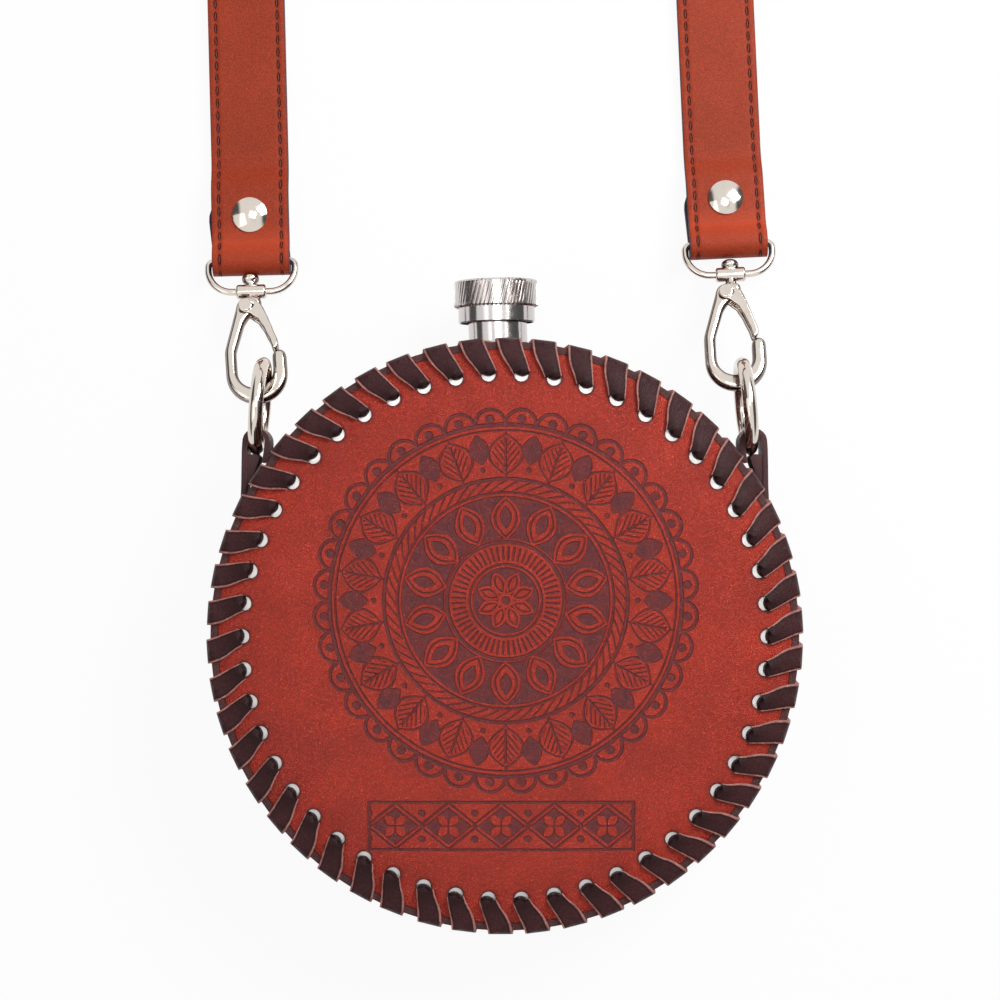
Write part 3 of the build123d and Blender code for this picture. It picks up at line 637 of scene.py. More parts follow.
def rosette_group(name):
    """A tooled round ornament of leaves, beads, a rope ring and a petalled middle, in millimetres."""
    group, start, end = new_group(name, [], ["Pressed"])
    x, y = flat_parts(group, start.outputs["Place"])
    soft = SOFT_EDGE
    radius = hypot(x, y)
    turn = y.joined("ARCTAN2", x)

    def ring(place, width):
        return (radius - place).stroke(width, soft)

    def zone(low, high):
        return (radius - high).inside(soft) * (radius * -1 + low).inside(soft)

    out, side = sector(radius, turn, 36)
    scallop = (hypot(out - 43.4, side) - 3.7).stroke(0.75, soft) * (radius * -1 + 43.4).inside(soft)
    bead = (hypot(out - 44.7, side) - 1.05).inside(soft)
    border = strongest(scallop, bead, ring(43.2, 0.95), ring(41.8, 0.4))

    out, side = sector(radius, turn, 18)
    leaf = petal(out, side, 30.9, 41.0, 4.3, 0.1)
    vein = (((out - side.size() * 1.25) / 1.75).part() - 0.5).stroke(0.24, 0.12)
    vein = vein * (leaf + 0.9).inside(soft)
    rib = side.stroke(0.5, soft) * (out - 39.6).inside(soft) * (out * -1 + 31.6).inside(soft)
    leaves = strongest(leaf.stroke(0.62, soft), vein, rib)
    out, side = sector(radius, turn, 18, 0.5)
    bud = petal(out, side, 33.6, 41.2, 2.5, 0.1).inside(soft)
    seed = (hypot(out - 32.4, side) - 0.62).inside(soft)
    leaves = strongest(leaves, bud, seed) * zone(30.2, 41.4)

    out, side = sector(radius, turn + radius * 0.055, 60)
    rope = strongest(side.stroke(0.7, soft) * zone(27.0, 29.3), ring(29.9, 0.85), ring(26.5, 0.55))

    out, side = sector(radius, turn, 14)
    big = petal(out, side, 14.6, 25.9, 4.1, 0.1)
    small = petal(out, side, 17.6, 23.4, 1.5, 0.1)
    field = zone(15.2, 25.6) * (big + 0.3).inside(soft).flipped()
    flower = strongest(field, (big + 1.35).stroke(0.45, soft) * zone(15.2, 25.6), small.inside(soft))

    out, side = sector(radius, turn, 56)
    rays = side.stroke(0.45, soft) * zone(9.9, 13.3)
    rays = strongest(rays, ring(14.4, 0.9), ring(8.9, 0.5))
    out, side = sector(radius, turn, 8)
    heart = petal(out, side, 1.2, 7.7, 2.2, 0.1)
    middle = (radius - 8.1).inside(soft) * (heart + 0.2).inside(soft).flipped()
    middle = strongest(middle, (heart + 1.2).stroke(0.35, soft) * (radius - 7.4).inside(soft))
    middle = middle * (radius - 1.9).inside(soft).flipped()
    middle = strongest(middle, (radius - 1.0).inside(soft))

    pressed = strongest(border, leaves, rope, flower, rays, middle)
    group.links.new(pressed.socket, end.inputs["Pressed"])
    return group


def border_group(name):
    """A straight tooled border of lozenges between two lines, in millimetres."""
    group, start, end = new_group(name, [], ["Pressed"])
    x, y = flat_parts(group, start.outputs["Place"])
    soft = SOFT_EDGE
    across = ((x / 13.0 + 0.5).part() - 0.5) * 13.0
    between = ((x / 13.0).part() - 0.5) * 13.0
    lozenge = (across.size() * 0.62 + y.size() * 0.78) - 3.6
    blossom = hypot(across, y)
    turn = y.joined("ARCTAN2", across)
    out, side = sector(blossom, turn, 4)
    raised = petal(out, side, 0.2, 3.6, 1.15, 0.05).inside(soft)
    solid = lozenge.inside(soft) * raised.flipped()
    frame_line = (lozenge - 0.85).stroke(0.45, soft)
    seeds = (hypot(between, y.size() - 3.2) - 0.85).inside(soft)
    seeds = strongest(seeds, (hypot(between, y) - 0.6).inside(soft))
    lines = (y.size() - 5.9).stroke(0.7, soft)
    ends = (x.size() - 32.5).stroke(0.7, soft)
    reach = (x.size() - 32.8).inside(soft) * (y.size() - 6.2).inside(soft)
    pressed = strongest(solid, frame_line, seeds, lines, ends) * reach
    group.links.new(pressed.socket, end.inputs["Pressed"])
    return group


def moved_place(tree, place, x, y):
    """Coordinates whose zero is at a point of the panel."""
    node = added(tree, "ShaderNodeMapping", vector_type="POINT")
    tree.links.new(place, node.inputs["Vector"])
    node.inputs["Location"].default_value = (-x, -y, 0)
    return node.outputs[0]


def ornament(tree, place):
    """Where the panel is tooled, from 0 to 1."""
    marks = []
    for name, maker, x, y in (
        ("tooled rosette", rosette_group, 0.2, 8.9),
        ("tooled border", border_group, -0.9, -46.4),
    ):
        node = added(tree, "ShaderNodeGroup", node_tree=shared(name, maker))
        tree.links.new(moved_place(tree, place, x, y), node.inputs["Place"])
        marks.append(Signal(tree, node.outputs["Pressed"]))
    return strongest(*marks)


def hole_nearness(tree, place, jacket):
    """Millimetres to the rim of the nearest lacing hole, and a value that fades from 1 there."""
    x, y = flat_parts(tree, place)
    first = math.degrees(jacket.first_hole) * jacket.hole_count / 360
    out, side = sector(hypot(x, y), y.joined("ARCTAN2", x), jacket.hole_count, 0.5 - first)
    gap = hypot(out - jacket.hole_circle / MM, side) - jacket.hole_diameter / MM / 2
    return gap, ranged(tree, gap, 0.0, 1.3, 1.0, 0.0)


def panel_leather(jacket, finish, tooled):
    """Red-brown panel leather with painted shade darkening it towards its holes and, in front, tooled."""
    name = "tooled_leather" if tooled else "plain_leather"
    finished = {"grain": 0.42, "depth": 0.0003, "rough": 0.5, "contrast": 0.28, "specular": 0.45}
    material, tree, shader, place, skin, normal = leather(name, finish.panel, **finished)
    gap, near = hole_nearness(tree, place, jacket)
    # Painted shade: the skin darkens towards each lacing hole, where it dips in, and most at the hole's
    # rim.
    hole_shade = strongest(near * near * 0.75, ranged(tree, gap, 0.05, 0.45, 0.95, 0.0))
    skin = shaded(tree, skin, scaled_colour(finish.pressed, 0.4), hole_shade)
    if tooled:
        pressed = ornament(tree, place)
        rub = noise(tree, place, scale=0.35, detail=4.0, rough=0.6)
        strength = pressed * ranged(tree, rub, 0.25, 0.75, 0.72, 1.0)
        skin = shaded(tree, skin, finish.pressed, strength)
        normal = bumped(tree, pressed.flipped(), 0.00045, normal)
    wired(tree, shader, Base_Color=skin, Normal=normal)
    return material


def mottled(name, colours, spots, depth, rough):
    """Stuff whose colour and bump follow one noise: its scale, detail and roughness are the spots."""
    material, tree, shader = new_material(name)
    value = noise(tree, millimetres(tree), *spots)
    tone = shaded(tree, *colours, value)
    wired(tree, shader, Base_Color=tone, Normal=bumped(tree, value, depth), Roughness=rough)
    return material


def cut_edge(name, base):
    """Raw fibrous edge of cut leather."""
    colours = scaled_colour(base, 0.55), scaled_colour(base, 1.2)
    return mottled(name, colours, (2.2, 5.0, 0.7), 0.00012, rough=0.75)


def strap_leather(strap, finish):
    """Smooth strap leather with a sunk stitch row near each edge, painted shade in its groove and stitch
    slots, and a painted highlight band over the fold.
    """
    finished = {"grain": 0.34, "depth": 0.00004, "rough": 0.42, "contrast": 0.14, "specular": 0.15}
    material, tree, shader, _, skin, normal = leather("stitched_leather", finish.strap, **finished)
    across, along = surface_value(tree, "across"), surface_value(tree, "along")
    inset = (strap.width / 2 - strap.stitch_inset) / MM
    pitch = strap.stitch_pitch / MM
    side = across.size() * (strap.width / MM / 2) - inset
    ahead = ((along / pitch).part() - 0.5) * pitch
    hollow = hypot(ahead / 1.3, side / 0.42)
    sunk = ranged(tree, hollow, 0.55, 1.2, 1.0, 0.0)
    groove = ranged(tree, side.size(), 0.3, 1.1, 1.0, 0.0)
    edge = ranged(tree, across.size(), 0.955, 1.0, 0.0, 1.0)
    # Painted highlight: a lighter band across the strap 28.5 mm along it, where a strap end turns over
    # its fold and bends down.
    fold_highlight = (along - 28.5).stroke(6.0, 6.0)
    skin = shaded(tree, skin, scaled_colour(finish.strap, 1.7), fold_highlight * 0.4)
    # Painted shade: darker along each stitch groove.
    skin = shaded(tree, skin, scaled_colour(finish.strap, 0.6), groove * 0.45)
    # Painted shade: the stitch slots darkened round the modelled thread.
    skin = shaded(tree, skin, scaled_colour(finish.thread, 0.35), sunk * 0.92)
    skin = shaded(tree, skin, scaled_colour(finish.strap, 0.45), edge * 0.7)
    normal = bumped(tree, (groove * 0.3 + sunk).flipped(), 0.0003, normal)
    wired(tree, shader, Base_Color=skin, Normal=normal)
    return material


def lace_leather(finish):
    """Dark waxed lace with lighter cut edges that show wear, painted shade where it dips into its holes,
    and a painted shade line inside each cut edge.
    """
    finished = {"grain": 0.42, "depth": 0.00006, "rough": 0.4, "contrast": 0.25, "specular": 0.12}
    material, tree, shader, place, skin, _ = leather("waxed_leather", finish.lace, **finished)
    across = surface_value(tree, "across")
    wear = noise(tree, place, scale=0.7, detail=3.0, rough=0.6)
    side = across.size() + (wear - 0.5) * 0.1
    radius = hypot(*flat_parts(tree, place))
    lace_shade = scaled_colour(finish.lace, 0.3)
    # Painted shade: the lace darkens where it dips into its holes.
    skin = shaded(tree, lace_shade, skin, ranged(tree, radius, 65.0, 69.5, 0.15, 1.0))
    # Painted shade: a dark line along each side, just inside the cut edge.
    skin = shaded(tree, skin, lace_shade, (side - 0.74).stroke(0.1, 0.12) * 0.8)
    edge = ranged(tree, side, 0.83, 0.93, 0.0, 1.0)
    skin = shaded(tree, skin, finish.lace_edge, edge * ranged(tree, wear, 0.2, 0.7, 0.5, 1.0))
    wired(tree, shader, Base_Color=skin)
    return material


def metal(name, base, rough, streak, turned):
    """Polished or turned metal with faint marks in its gloss."""
    material, tree, shader = new_material(name)
    place = millimetres(tree)
    marks = added(tree, "ShaderNodeMapping")
    tree.links.new(place, marks.inputs["Vector"])
    marks.inputs["Scale"].default_value = (0.3, 9.0, 0.3) if turned else (1.2, 1.2, 1.2)
    lines = noise(tree, marks.outputs[0], scale=1.0, detail=4.0, rough=0.6)
    smudge = noise(tree, place, scale=0.4, detail=3.0, rough=0.5)
    tone = shaded(tree, scaled_colour(base, 0.88), base, smudge)
    roughness = ranged(tree, lines * 0.6 + smudge * 0.4, 0.3, 0.7, rough, rough + streak)
    normal = bumped(tree, lines, 0.000003)
    wired(tree, shader, Base_Color=tone, Roughness=roughness, Normal=normal)
    shader.inputs["Metallic"].default_value = 1.0
    return material


def cast_nickel(finish):
    """Polished nickel, with painted brown shade where a casting turns to its sides."""
    material = metal("cast_nickel", finish.nickel, rough=0.07, streak=0.09, turned=False)
    tree = material.node_tree
    shader = tree.nodes["Principled BSDF"]
    polished = shader.inputs["Base Color"].links[0].from_socket
    # Painted shade: brown laid on where the casting turns edge-on.
    turned = ranged(tree, surface_value(tree, "edge_on"), 0.1, 0.5, 0.0, 0.85)
    wired(tree, shader, Base_Color=shaded(tree, polished, finish.side_shade, turned))
    return material


def rubber(finish):
    """Matt sealing rubber."""
    colours = finish.rubber, scaled_colour(finish.rubber, 1.8)
    return mottled("rubber", colours, (1.5, 4.0, 0.6), 0.00003, rough=0.7)


def thread_fibre(finish):
    """Twisted sewing thread."""
    colours = finish.thread, scaled_colour(finish.thread, 2.2)
    return mottled("thread", colours, (4.0, 2.0, 0.5), 0.0001, rough=0.55)


def skin_height(jacket, radius):
    """Height of the front panel's outer skin at a radius."""
    span = jacket.panel_radius - jacket.flat_radius
    curve = (span**2 + jacket.drop**2) / (2 * jacket.drop)
    return jacket.depth - curve + math.sqrt(curve**2 - max(radius - jacket.flat_radius, 0) ** 2)


def panel_mesh(jacket):
    """The front panel: its section spun about Z, with a rounded rim."""
    body = bmesh.new()
    edge = 0.35 * MM
    rings = 26
    rim = skin_height(jacket, jacket.panel_radius)
    radii = [jacket.panel_radius * index / rings for index in range(rings)]
    radii.append(jacket.panel_radius - edge)
    outer = [(radius, skin_height(jacket, radius)) for radius in radii]
    corner = [
        (jacket.panel_radius - 0.1 * MM, rim - 0.12 * MM), (jacket.panel_radius, rim - edge),
        (jacket.panel_radius, rim - jacket.thickness),
    ]
    inner = []
    for radius in reversed(radii[:-1:2]):
        inner.append((radius, skin_height(jacket, radius) - jacket.thickness))
    section_line(body, outer + corner + inner)
    spun(body, ROUND_STEPS)
    return body


def hole_cutter(jacket):
    """Rods through every lacing hole."""
    body = bmesh.new()
    for index in range(jacket.hole_count):
        angle = jacket.first_hole + index * math.tau / jacket.hole_count
        place = Matrix.Rotation(angle, 4, "Z") @ Matrix.Translation((jacket.hole_circle, 0, jacket.depth))
        bmesh.ops.create_cone(
            body, cap_ends=True, segments=22, radius1=jacket.hole_diameter / 2,
            radius2=jacket.hole_diameter / 2, depth=jacket.depth / 2, matrix=place,
        )
    return modelled("hole_cutter", body, [])


def sink_round_holes(piece, jacket):
    """Pull the skin down a little towards each lacing hole."""
    reach = 4.2 * MM
    dip = 0.32 * MM
    pitch = math.tau / jacket.hole_count
    for vertex in piece.data.vertices:
        radius = math.hypot(vertex.co.x, vertex.co.y)
        if vertex.co.z < skin_height(jacket, radius) - jacket.thickness / 2:
            continue
        angle = math.atan2(vertex.co.y, vertex.co.x) - jacket.first_hole
        nearest = round(angle / pitch) * pitch
        place = Vector((jacket.hole_circle, 0))
        spot = Vector((radius * math.cos(angle - nearest), radius * math.sin(angle - nearest)))
        gap = (spot - place).length - jacket.hole_diameter / 2
        if gap < reach:
            vertex.co.z -= dip * (1 - max(gap, 0) / reach) ** 2


def mirrored(piece, name, height):
    """A copy of a piece, mirrored through a level plane."""
    mesh = piece.data.copy()
    mesh.name = name
    flip = Matrix.Translation((0, 0, height)) @ Matrix.Diagonal((1, 1, -1, 1))
    mesh.transform(flip)
    mesh.flip_normals()
    copy = bpy.data.objects.new(name, mesh)
    bpy.context.scene.collection.objects.link(copy)
    return copy


def hole_floor(jacket):
    """A flat steel ring under the lacing holes: what shows of the flask through them."""
    body = bmesh.new()
    top = skin_height(jacket, jacket.hole_circle) - jacket.hole_floor
    low = top - 0.3 * MM
    inner, outer = jacket.hole_circle - 3.2 * MM, jacket.hole_circle + 2.4 * MM
    section_line(body, [(inner, top), (outer, top), (outer, low), (inner, low)], closed=True)
    spun(body, 120)
    return body


class FLASK_OT_panels(bpy.types.Operator):
    """Model the front and back panels of the jacket"""

    bl_idname = "flask.panels"
    bl_label = "Panels"

    def execute(self, context):
        jacket, finish = context.scene.flask_jacket, context.scene.flask_finish
        edge = cut_edge("panel_edge", scaled_colour(finish.gusset, 1.1))
        front = modelled("front_skin", panel_mesh(jacket), [panel_leather(jacket, finish, True), edge])
        cut_away(front, hole_cutter(jacket))
        sink_round_holes(front, jacket)
        skin = 0.15 * MM
        for face in front.data.polygons:
            below = skin_height(jacket, face.center.xy.length) - face.center.z
            if face.normal.z < 0.3 and below > skin:
                face.material_index = 1
        back = mirrored(front, "back_skin", jacket.depth)
        back.data.materials[0] = panel_leather(jacket, finish, False)
        placed(front, "flask", ["front_panel"])
        shade = scaled_colour(finish.steel, 0.95)
        steel = metal("shaded_steel", shade, rough=0.35, streak=0.1, turned=False)
        shoulder = modelled("hole_shoulder", hole_floor(jacket), [steel], 30)
        placed(shoulder, "flask")
        under = mirrored(shoulder, "back_hole_shoulder", jacket.depth)
        placed(under, "flask")
        placed(back, "flask", ["back_panel"])
        return {"FINISHED"}


def neck_cutter(jacket):
    """A rod along the neck, from inside the flask outwards."""
    body = bmesh.new()
    reach = 80 * MM
    bmesh.ops.create_cone(
        body, cap_ends=True, segments=48, radius1=jacket.neck_hole, radius2=jacket.neck_hole, depth=reach,
        matrix=neck_place(jacket) @ Matrix.Translation((0, 0, reach)),
    )
    return modelled("neck_cutter", body, [])


class FLASK_OT_gusset(bpy.types.Operator):
    """Model the band round the rim"""

    bl_idname = "flask.gusset"
    bl_label = "Gusset"

    def execute(self, context):
        jacket, finish = context.scene.flask_jacket, context.scene.flask_finish
        body = bmesh.new()
        inner = jacket.panel_radius
        outer = inner + jacket.gusset_thickness
        low = jacket.drop
        high = jacket.depth - jacket.drop
        section = [(inner, low), (outer, low), (outer, high), (inner, high)]
        points = section_line(body, section, closed=True)
        bmesh.ops.bevel(
            body, geom=[points[1], points[2]], offset=0.5 * MM, segments=3, affect="VERTICES",
            profile=0.5, material=-1,
        )
        spun(body, ROUND_STEPS)
        finished = {"grain": 0.4, "depth": 0.00012, "rough": 0.62, "contrast": 0.3}
        material = leather("gusset_leather", finish.gusset, **finished)[0]
        band = modelled("rim_band", body, [material])
        cut_away(band, neck_cutter(jacket))
        placed(band, "flask", ["gusset"])
        return {"FINISHED"}


def lace_path(jacket):
    """One crossing of the lace, front half: radius, height, share of the pitch, width, cup."""
    half = jacket.lace_thickness / 2 + 0.06 * MM
    hole = jacket.hole_circle - 0.1 * MM
    rise = skin_height(jacket, hole)
    rim = jacket.panel_radius + jacket.gusset_thickness
    corner = jacket.depth - jacket.drop

    def on_skin(radius, gap):
        return radius, skin_height(jacket, radius) + half + gap * MM

    return [
        (hole + 0.1 * MM, rise - 3.6 * MM, 0.0, 2.9, 1.0),
        (hole + 0.2 * MM, rise - 1.2 * MM, 0.0, 3.0, 1.0),
        (hole + 0.55 * MM, rise + 0.25 * MM, 0.01, 3.3, 1.0),
        (hole + 1.35 * MM, rise + 0.75 * MM, 0.05, 3.7, 0.85),
        (*on_skin(hole + 2.6 * MM, 0.25), 0.13, 4.4, 0.6),
        (*on_skin(hole + 4.2 * MM, 0.15), 0.24, 5.2, 0.35),
        (*on_skin(rim - 2.2 * MM, 0.05), 0.34, 5.7, 0.2),
        (rim - 0.35 * MM, corner + half + 0.05 * MM, 0.4, 5.9, 0.1),
        (rim + half * 0.7, corner - 0.35 * MM, 0.42, 5.95, 0.05),
        (rim + half, corner - 2.0 * MM, 0.43, 6.0, 0.0),
        (rim + half, jacket.depth * 0.72, 0.45, 6.0, 0.0),
        (rim + half, jacket.depth / 2, 0.5, 6.0, 0.0),
    ]


def lace_places(jacket):
    """Places along a whole crossing, with its widths and cups."""
    front = lace_path(jacket)
    back = []
    for radius, height, share, width, cup in front:
        back.append((radius, jacket.depth - height, 1 - share, width, cup))
    stations = front + list(reversed(back[:-1]))
    pitch = math.tau / jacket.hole_count
    points = []
    for radius, height, share, _, _ in stations:
        turn = share * pitch
        points.append(Vector((radius * math.cos(turn), radius * math.sin(turn), height)))
    result = []
    for index, (_, _, share, width, cup) in enumerate(stations):
        before = points[max(index - 1, 0)]
        after = points[min(index + 1, len(points) - 1)]
        ahead = (after - before).normalized()
        turn = share * pitch
        across = Vector((-math.sin(turn), math.cos(turn), 0))
        across = (across - ahead * across.dot(ahead)).normalized()
        outward = across.cross(ahead)
        place = Matrix((ahead, outward, across)).transposed().to_4x4()
        place.translation = points[index]
        result.append((place, width * MM, cup))
    return result


def append_mesh(body, part):
    """Add one bmesh to another, and free it."""
    carrier = bpy.data.meshes.new("carrier")
    part.to_mesh(carrier)
    part.free()
    body.from_mesh(carrier)
    bpy.data.meshes.remove(carrier)


def lace_crossing(jacket, wild):
    """One crossing as a strip, cupped where it enters its holes."""
    stations = lace_places(jacket)
    first, width, cup = stations[0]
    ribbon = Ribbon(first, width, 6)
    depth = 0.75 * MM
    for vertex in ribbon.mesh.verts:
        vertex.co += first.to_3x3() @ Vector((0, 1, 0)) * (vertex[ribbon.across] ** 2 * cup * depth)
    for place, next_width, next_cup in stations[1:]:
        row = ribbon.follow(place, next_width / width)
        lift = place.to_3x3() @ Vector((0, 1, 0))
        for vertex in row:
            vertex.co += lift * (vertex[ribbon.across] ** 2 * (next_cup - cup) * depth)
        width, cup = next_width, next_cup
    sway = Matrix.Rotation(math.radians(wild.uniform(-0.35, 0.35)), 4, "Z")
    bmesh.ops.transform(ribbon.mesh, matrix=sway, verts=ribbon.mesh.verts)
    return ribbon.mesh


class FLASK_OT_lacing(bpy.types.Operator):
    """Model the lace's crossings round the rim"""

    bl_idname = "flask.lacing"
    bl_label = "Lacing"

    def execute(self, context):
        jacket, finish = context.scene.flask_jacket, context.scene.flask_finish
        wild = random.Random(7)
        materials = [lace_leather(finish), cut_edge("lace_edge", finish.lace_edge)]
        groups = {"lace": bmesh.new(), "neck_lace": bmesh.new()}
        for index in range(jacket.hole_count):
            crossing = lace_crossing(jacket, wild)
            turn = jacket.first_hole + index * math.tau / jacket.hole_count
            turned = Matrix.Rotation(turn, 3, "Z")
            bmesh.ops.rotate(crossing, verts=crossing.verts, cent=(0, 0, 0), matrix=turned)
            by_neck = index < 2 or index > jacket.hole_count - 4
            append_mesh(groups["neck_lace" if by_neck else "lace"], crossing)
        pieces = []
        for name, body in groups.items():
            piece = modelled(name, body, materials, turn_out=False)
            pieces.append(thickened(piece, jacket.lace_thickness, 0.0, 0.18 * MM, 1))
        lace, neck_lace = pieces
        cut_away(neck_lace, neck_cutter(jacket))
        whole = bmesh.new()
        whole.from_mesh(lace.data)
        whole.from_mesh(neck_lace.data)
        bpy.data.objects.remove(neck_lace)
        whole.to_mesh(lace.data)
        whole.free()
        placed(lace, "flask", ["lacing"])
        return {"FINISHED"}


# The middle and half the opening of a tab's bend, and in millimetres the corners of the dark wedge
# between its legs, which stands in for the shade there.
TAB_MIDDLE = Vector((62.6, 48.2)) * MM
TAB_OPENING = 2.3 * MM
SHADE_WEDGE_CORNERS = ((61.7, 44.3), (62.6, 45.2), (65.2, 45.0), (65.6, 37.2), (64.0, 37.4))


def ray(angle):
    """A unit step in the plane of the panels."""
    return Vector((math.cos(angle), math.sin(angle)))


def tab_mesh(jacket, side):
    """A tab as a strip bent round the ring, its ends under the lacing."""
    arch = TAB_OPENING + jacket.tab_thickness / 2
    bed = jacket.panel_radius + jacket.gusset_thickness + 0.2 * MM
    over = bed + jacket.lace_thickness + 0.9 * MM
    pitch = math.tau / jacket.hole_count
    outer = jacket.first_hole - 9 * pitch
    inner = jacket.first_hole - 8 * pitch
    steps = 6
    points = [ray(turn) * bed for turn in (outer - 0.36, outer - 0.2, outer - 0.06)]
    points.append(ray(outer) * over)
    points += [TAB_MIDDLE + ray(math.pi * step / steps) * arch for step in range(steps + 1)]
    points.append(ray(inner) * (over - 0.3 * MM))
    points += [ray(turn) * bed for turn in (inner + 0.03, inner + 0.1)]
    places = []
    for index, point in enumerate(points):
        before = points[max(index - 1, 0)]
        after = points[min(index + 1, len(points) - 1)]
        ahead = (after - before).normalized()
        place = Matrix(((ahead.x, ahead.y, 0), (-ahead.y, ahead.x, 0), (0, 0, 1))).transposed().to_4x4()
        place.translation = (point.x, point.y, jacket.depth / 2)
        places.append(place)
    ribbon = Ribbon(places[0], jacket.tab_width, 6)
    for place in places[1:]:
        ribbon.follow(place)
    if side < 0:
        bmesh.ops.scale(ribbon.mesh, vec=(-1, 1, 1), verts=ribbon.mesh.verts)
        bmesh.ops.reverse_faces(ribbon.mesh, faces=ribbon.mesh.faces)
    return ribbon.mesh


def tab_shade_wedge(jacket, side):
    """A dark wedge between a tab's two legs below its ring, put there as painted shade for the shaded gap
    between them.
    """
    body = bmesh.new()
    inset = 0.4 * MM
    top = jacket.depth / 2 + jacket.tab_width / 2 - inset
    points = [body.verts.new((side * x * MM, y * MM, top)) for x, y in SHADE_WEDGE_CORNERS]
    face = body.faces.new(points)
    made = bmesh.ops.extrude_face_region(body, geom=[face])["geom"]
    down = (0, 0, 2 * inset - jacket.tab_width)
    bmesh.ops.translate(body, verts=vertices_in(made), vec=down)
    bmesh.ops.bevel(
        body, geom=list(body.edges), offset=0.2 * MM, segments=2, affect="EDGES", profile=0.5,
        material=-1,
    )
    return body


class FLASK_OT_tabs(bpy.types.Operator):
    """Model the two tabs that hold the rings"""

    bl_idname = "flask.tabs"
    bl_label = "Tabs"

    def execute(self, context):
        jacket, finish = context.scene.flask_jacket, context.scene.flask_finish
        face = bpy.data.materials.get("waxed_leather") or lace_leather(finish)
        edge = cut_edge("tab_edge", scaled_colour(finish.lace, 1.1))
        for name, side in (("left", -1), ("right", 1)):
            tab = modelled(f"{name}_ring_tab", tab_mesh(jacket, side), [face, edge], turn_out=False)
            thickened(tab, jacket.tab_thickness, 0.0, 0.2 * MM, 1)
            placed(tab, "flask", [f"{name}_tab"])
            # Painted shade: a dark wedge in the gap between the legs, where shade falls.
            shade_wedge = modelled(f"{name}_tab_keeper", tab_shade_wedge(jacket, side), [edge])
            placed(shade_wedge, "flask")
        return {"FINISHED"}


# Where the bar in each strap end lies, in millimetres; how far the strap leans from the flask's axis
# and its fold stands up, in degrees; how far its tail lies aside, in millimetres.
STRAP_SIDES = {
    "left": {"x": -66.0, "y": 95.9, "tilt": 1.4, "lift": 0.0, "skew": 1.5},
    "right": {"x": 58.05, "y": 100.17, "tilt": 2.65, "lift": 9.0, "skew": 0.9},
}
LOOP_WIRE = 1.8 * MM
FOLD_CLEARANCE = 0.1 * MM


def strap_plane(side):
    """The upright plane along a strap end: X away from the clip, Y up, Z across."""
    tilt = math.radians(side["tilt"])
    along = Vector((-math.sin(tilt), math.cos(tilt), 0))
    across = Vector((along.y, -along.x, 0))
    place = Matrix((along, Vector((0, 0, 1)), across)).transposed().to_4x4()
    place.translation = Vector((side["x"], side["y"], 0)) * MM
    return place


def strap_ribbon(strap, side, shift):
    """One ply of a strap end: tail, fold round the loop, down on the tail and down to the table."""
    thickness = strap.face + strap.lining
    half = thickness / 2
    lift = math.radians(side["lift"])
    fold_height = LOOP_WIRE / 2 + FOLD_CLEARANCE + thickness
    bar = strap.tail * math.sin(lift) + fold_height * math.cos(lift)
    rise = half - fold_height
    ahead = strap.tail * math.cos(lift) + rise * math.sin(lift)
    up = bar - strap.tail * math.sin(lift) + rise * math.cos(lift)
    start = strap_plane(side) @ Matrix.Translation((ahead, up, 0))
    start = start @ Matrix.Rotation(math.pi - lift, 4, "Z")
    corner = strap.tail_corner
    width = narrow = strap.width - 2 * corner
    ribbon = Ribbon(start, narrow, 12, shift)
    steps = 6
    for index in range(1, steps + 1):
        angle = math.pi / 2 * index / steps
        step = corner * (math.cos(math.pi / 2 * (index - 1) / steps) - math.cos(angle))
        wider = narrow + 2 * corner * math.sin(angle)
        ribbon.track.place = ribbon.track.place @ Matrix.Translation((step, 0, 0))
        ribbon.track.travelled += step
        ribbon.carry(ribbon.track.place, wider / width)
        width = wider
    ribbon.run(strap.tail - corner, 3)
    fold = LOOP_WIRE / 2 + FOLD_CLEARANCE + half
    ribbon.turn(fold, -180, 14)
    drop = 2 * fold - thickness - FOLD_CLEARANCE
    bend = strap.tail_bend
    sink = math.acos(1 - drop / (2 * bend))
    ribbon.turn(bend, -math.degrees(sink), 3)
    ribbon.turn(bend, math.degrees(sink), 3)
    ribbon.run(strap.tail - 2 * bend * math.sin(sink), 3)
    plane = strap_plane(side).inverted()
    height = (plane @ ribbon.track.place.translation).y - half
    bend = strap.step_bend
    sink = math.acos((1 + math.cos(lift) - height / bend) / 2) - lift
    ribbon.turn(bend, -math.degrees(sink), 3)
    ribbon.turn(bend, math.degrees(sink + lift), 3)
    gone = (plane @ ribbon.track.place.translation).x
    ribbon.run(strap.run - gone, 12)
    aside = strap_plane(side).to_3x3() @ Vector((0, 0, -side["skew"] * MM))
    for vertex in ribbon.mesh.verts:
        share = 1 - vertex[ribbon.along] * MM / strap.tail
        vertex.co += aside * max(share, 0)
    return ribbon


def stitches(name, ribbon, strap, material, start, end):
    """Thread lying in its holes on both faces, in a row near each edge."""
    body = bmesh.new()
    half = (strap.face + strap.lining) / 2
    inset = strap.width / 2 - strap.stitch_inset
    wild = random.Random(3)
    count = int((end - start) / strap.stitch_pitch)
    first = math.ceil(start / strap.stitch_pitch)
    for index in range(first, first + count):
        distance = (index + 0.5) * strap.stitch_pitch
        if distance > end:
            break
        place = ribbon.place_at(distance)
        for row in (-1, 1):
            for face in (-1, 1):
                tilt = Matrix.Rotation(math.radians(wild.uniform(-5, 5)), 4, "Y")
                spot = place @ Matrix.Translation((0, face * (half - 0.06 * MM), row * inset)) @ tilt
                if spot.translation.z < strap.thread:
                    continue
                shape = Matrix.Diagonal((strap.stitch_length / 2, strap.thread / 2, strap.thread / 2, 1))
                bmesh.ops.create_uvsphere(
                    body, u_segments=6, v_segments=5, radius=1.0, matrix=spot @ shape
                )
    return modelled(name, body, [material])


